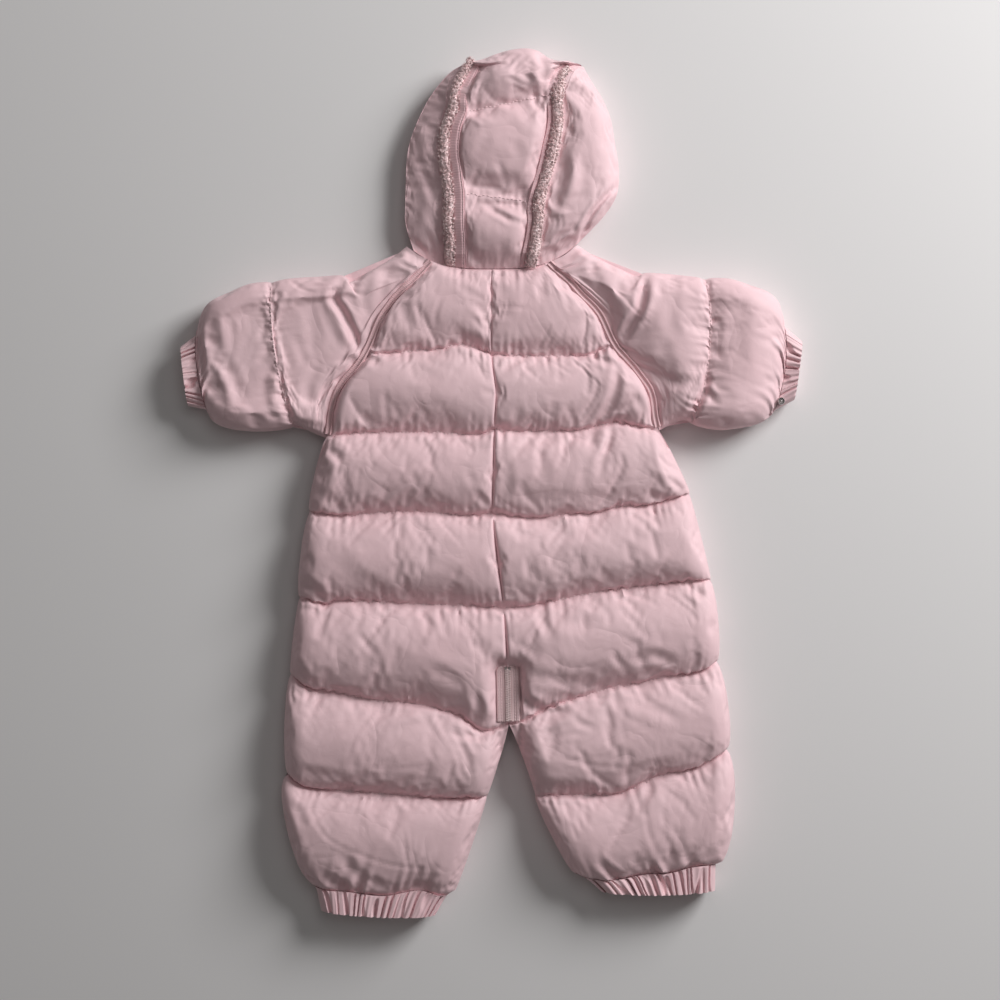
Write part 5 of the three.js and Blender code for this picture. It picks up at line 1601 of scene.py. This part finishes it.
zipY = np.linspace(-153, -196, 60)
zipPath = np.column_stack([centreX(zipY), zipY])
a = np.linspace(-1.45, 1.45, 20)
arch = np.column_stack([
    centreX(-150) + 7.9 * np.sin(a), -150.4 - 7.9 * 0.5 * (1 - np.cos(a)), np.full(len(a), 24.3)
])
zipLines = [offsetLine(zipPath, off, 24.35) for off in (-7.9, 7.9, -5.6, 5.6)] + [arch]
addStitches("zip_stitches", zipLines, 2.4)
flangeLines = []
for side in halves:
    line = offsetLine(hoodSeamPath(side, hoodTrims[side]["end"]), 2.1, 1.0)
    line[:, 2] += trimBase(side, np.linspace(0, 1, len(line)), 2.1 if side == "left" else 0)
    flangeLines.append(line)
addStitches("flange_stitches", flangeLines, 2.8)


# end stops of the zip on the back
def addStops():
    points, faces = [], []
    rings = [(23.9 + 1.7 * part, size) for part, size in ((0, 1), (0.7, 1), (1, 0.6))]
    for x, y in ((centreX(-152.2) - 1.5, -152.2), (centreX(-152.2) + 1.6, -152.4)):
        addBlock(points, faces, x, y, 1.1, 1.3, rings)
    made = makeObject("zip_end_stops", np.array(points), faces, nickel, 35)
    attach(made, "suit")


addStops()


# snap on the right arm cuff: rolled ring, dished cap and a small peak, as radius and share of its height
snapProfile = [
    (0.0, 0.95), (0.5, 0.92), (0.9, 0.7), (1.3, 0.5), (1.8, 0.5), (2.15, 0.8), (2.5, 1.0), (2.85, 0.95),
    (3.1, 0.7), (3.2, 0.35), (3.15, 0.0),
]


def addSnap():
    low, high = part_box("snap_cuff_right")
    centre = (np.array(low) + np.array(high)) / 2 / mm
    base = low[2] / mm
    thick = (high[2] - low[2]) / mm
    count = 40
    points, faces = [(centre[0], centre[1], base + thick)], []
    for r, share in snapProfile[1:]:
        for k in range(count):
            a = 2 * math.pi * k / count
            points.append((centre[0] + r * math.cos(a), centre[1] + r * math.sin(a), base + thick * share))
    for k in range(count):
        faces.append([0, 1 + k, 1 + (k + 1) % count])
    for ring in range(len(snapProfile) - 2):
        for k in range(count):
            a, b = 1 + ring * count + k, 1 + ring * count + (k + 1) % count
            faces.append([a, a + count, b + count, b])
    last = 1 + (len(snapProfile) - 2) * count
    faces.append([last + k for k in range(count)][::-1])
    made = makeObject("snap_cap", np.array(points), faces, nickel, 60)
    sewOn(made, "snap_cuff_right")


addSnap()

# the slider and its pull keep their solids and get the metal finish
for name in ("zip_slider", "zip_pull"):
    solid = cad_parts[name]
    solid.data.materials.clear()
    solid.data.materials.append(nickel)
print("trims made")


# plain pale floor and soft studio light
def addStage():
    bpy.ops.mesh.primitive_plane_add(size=8, location=(0, 0, -0.0005))
    floor = bpy.context.object
    floor.name = "floor"
    material, nodes, links, shader = newMaterial("pale floor", (0.80, 0.795, 0.79), 0.95, specular=0.05)
    floor.data.materials.append(material)
    for name, place, size, power, colour in (
        ("key light", (1.5, 1.15, 1.06), 1.0, 46, (1.0, 0.985, 0.99)),
        ("top light", (0.4, 0.9, 2.6), 1.4, 5, (1.0, 0.99, 1.0)),
    ):
        data = bpy.data.lights.new(name, "AREA")
        data.size = size
        data.energy = power
        data.color = colour
        light = bpy.data.objects.new(name, data)
        light.location = place
        light.rotation_euler = (-Vector(place)).to_track_quat("-Z", "Y").to_euler()
        bpy.context.scene.collection.objects.link(light)
    world = bpy.data.worlds.new("studio")
    world.use_nodes = True
    world.node_tree.nodes["Background"].inputs["Color"].default_value = (1.0, 0.95, 0.93, 1)
    world.node_tree.nodes["Background"].inputs["Strength"].default_value = 0.1
    bpy.context.scene.world = world
    bpy.context.scene.view_settings.view_transform = "Standard"


addStage()
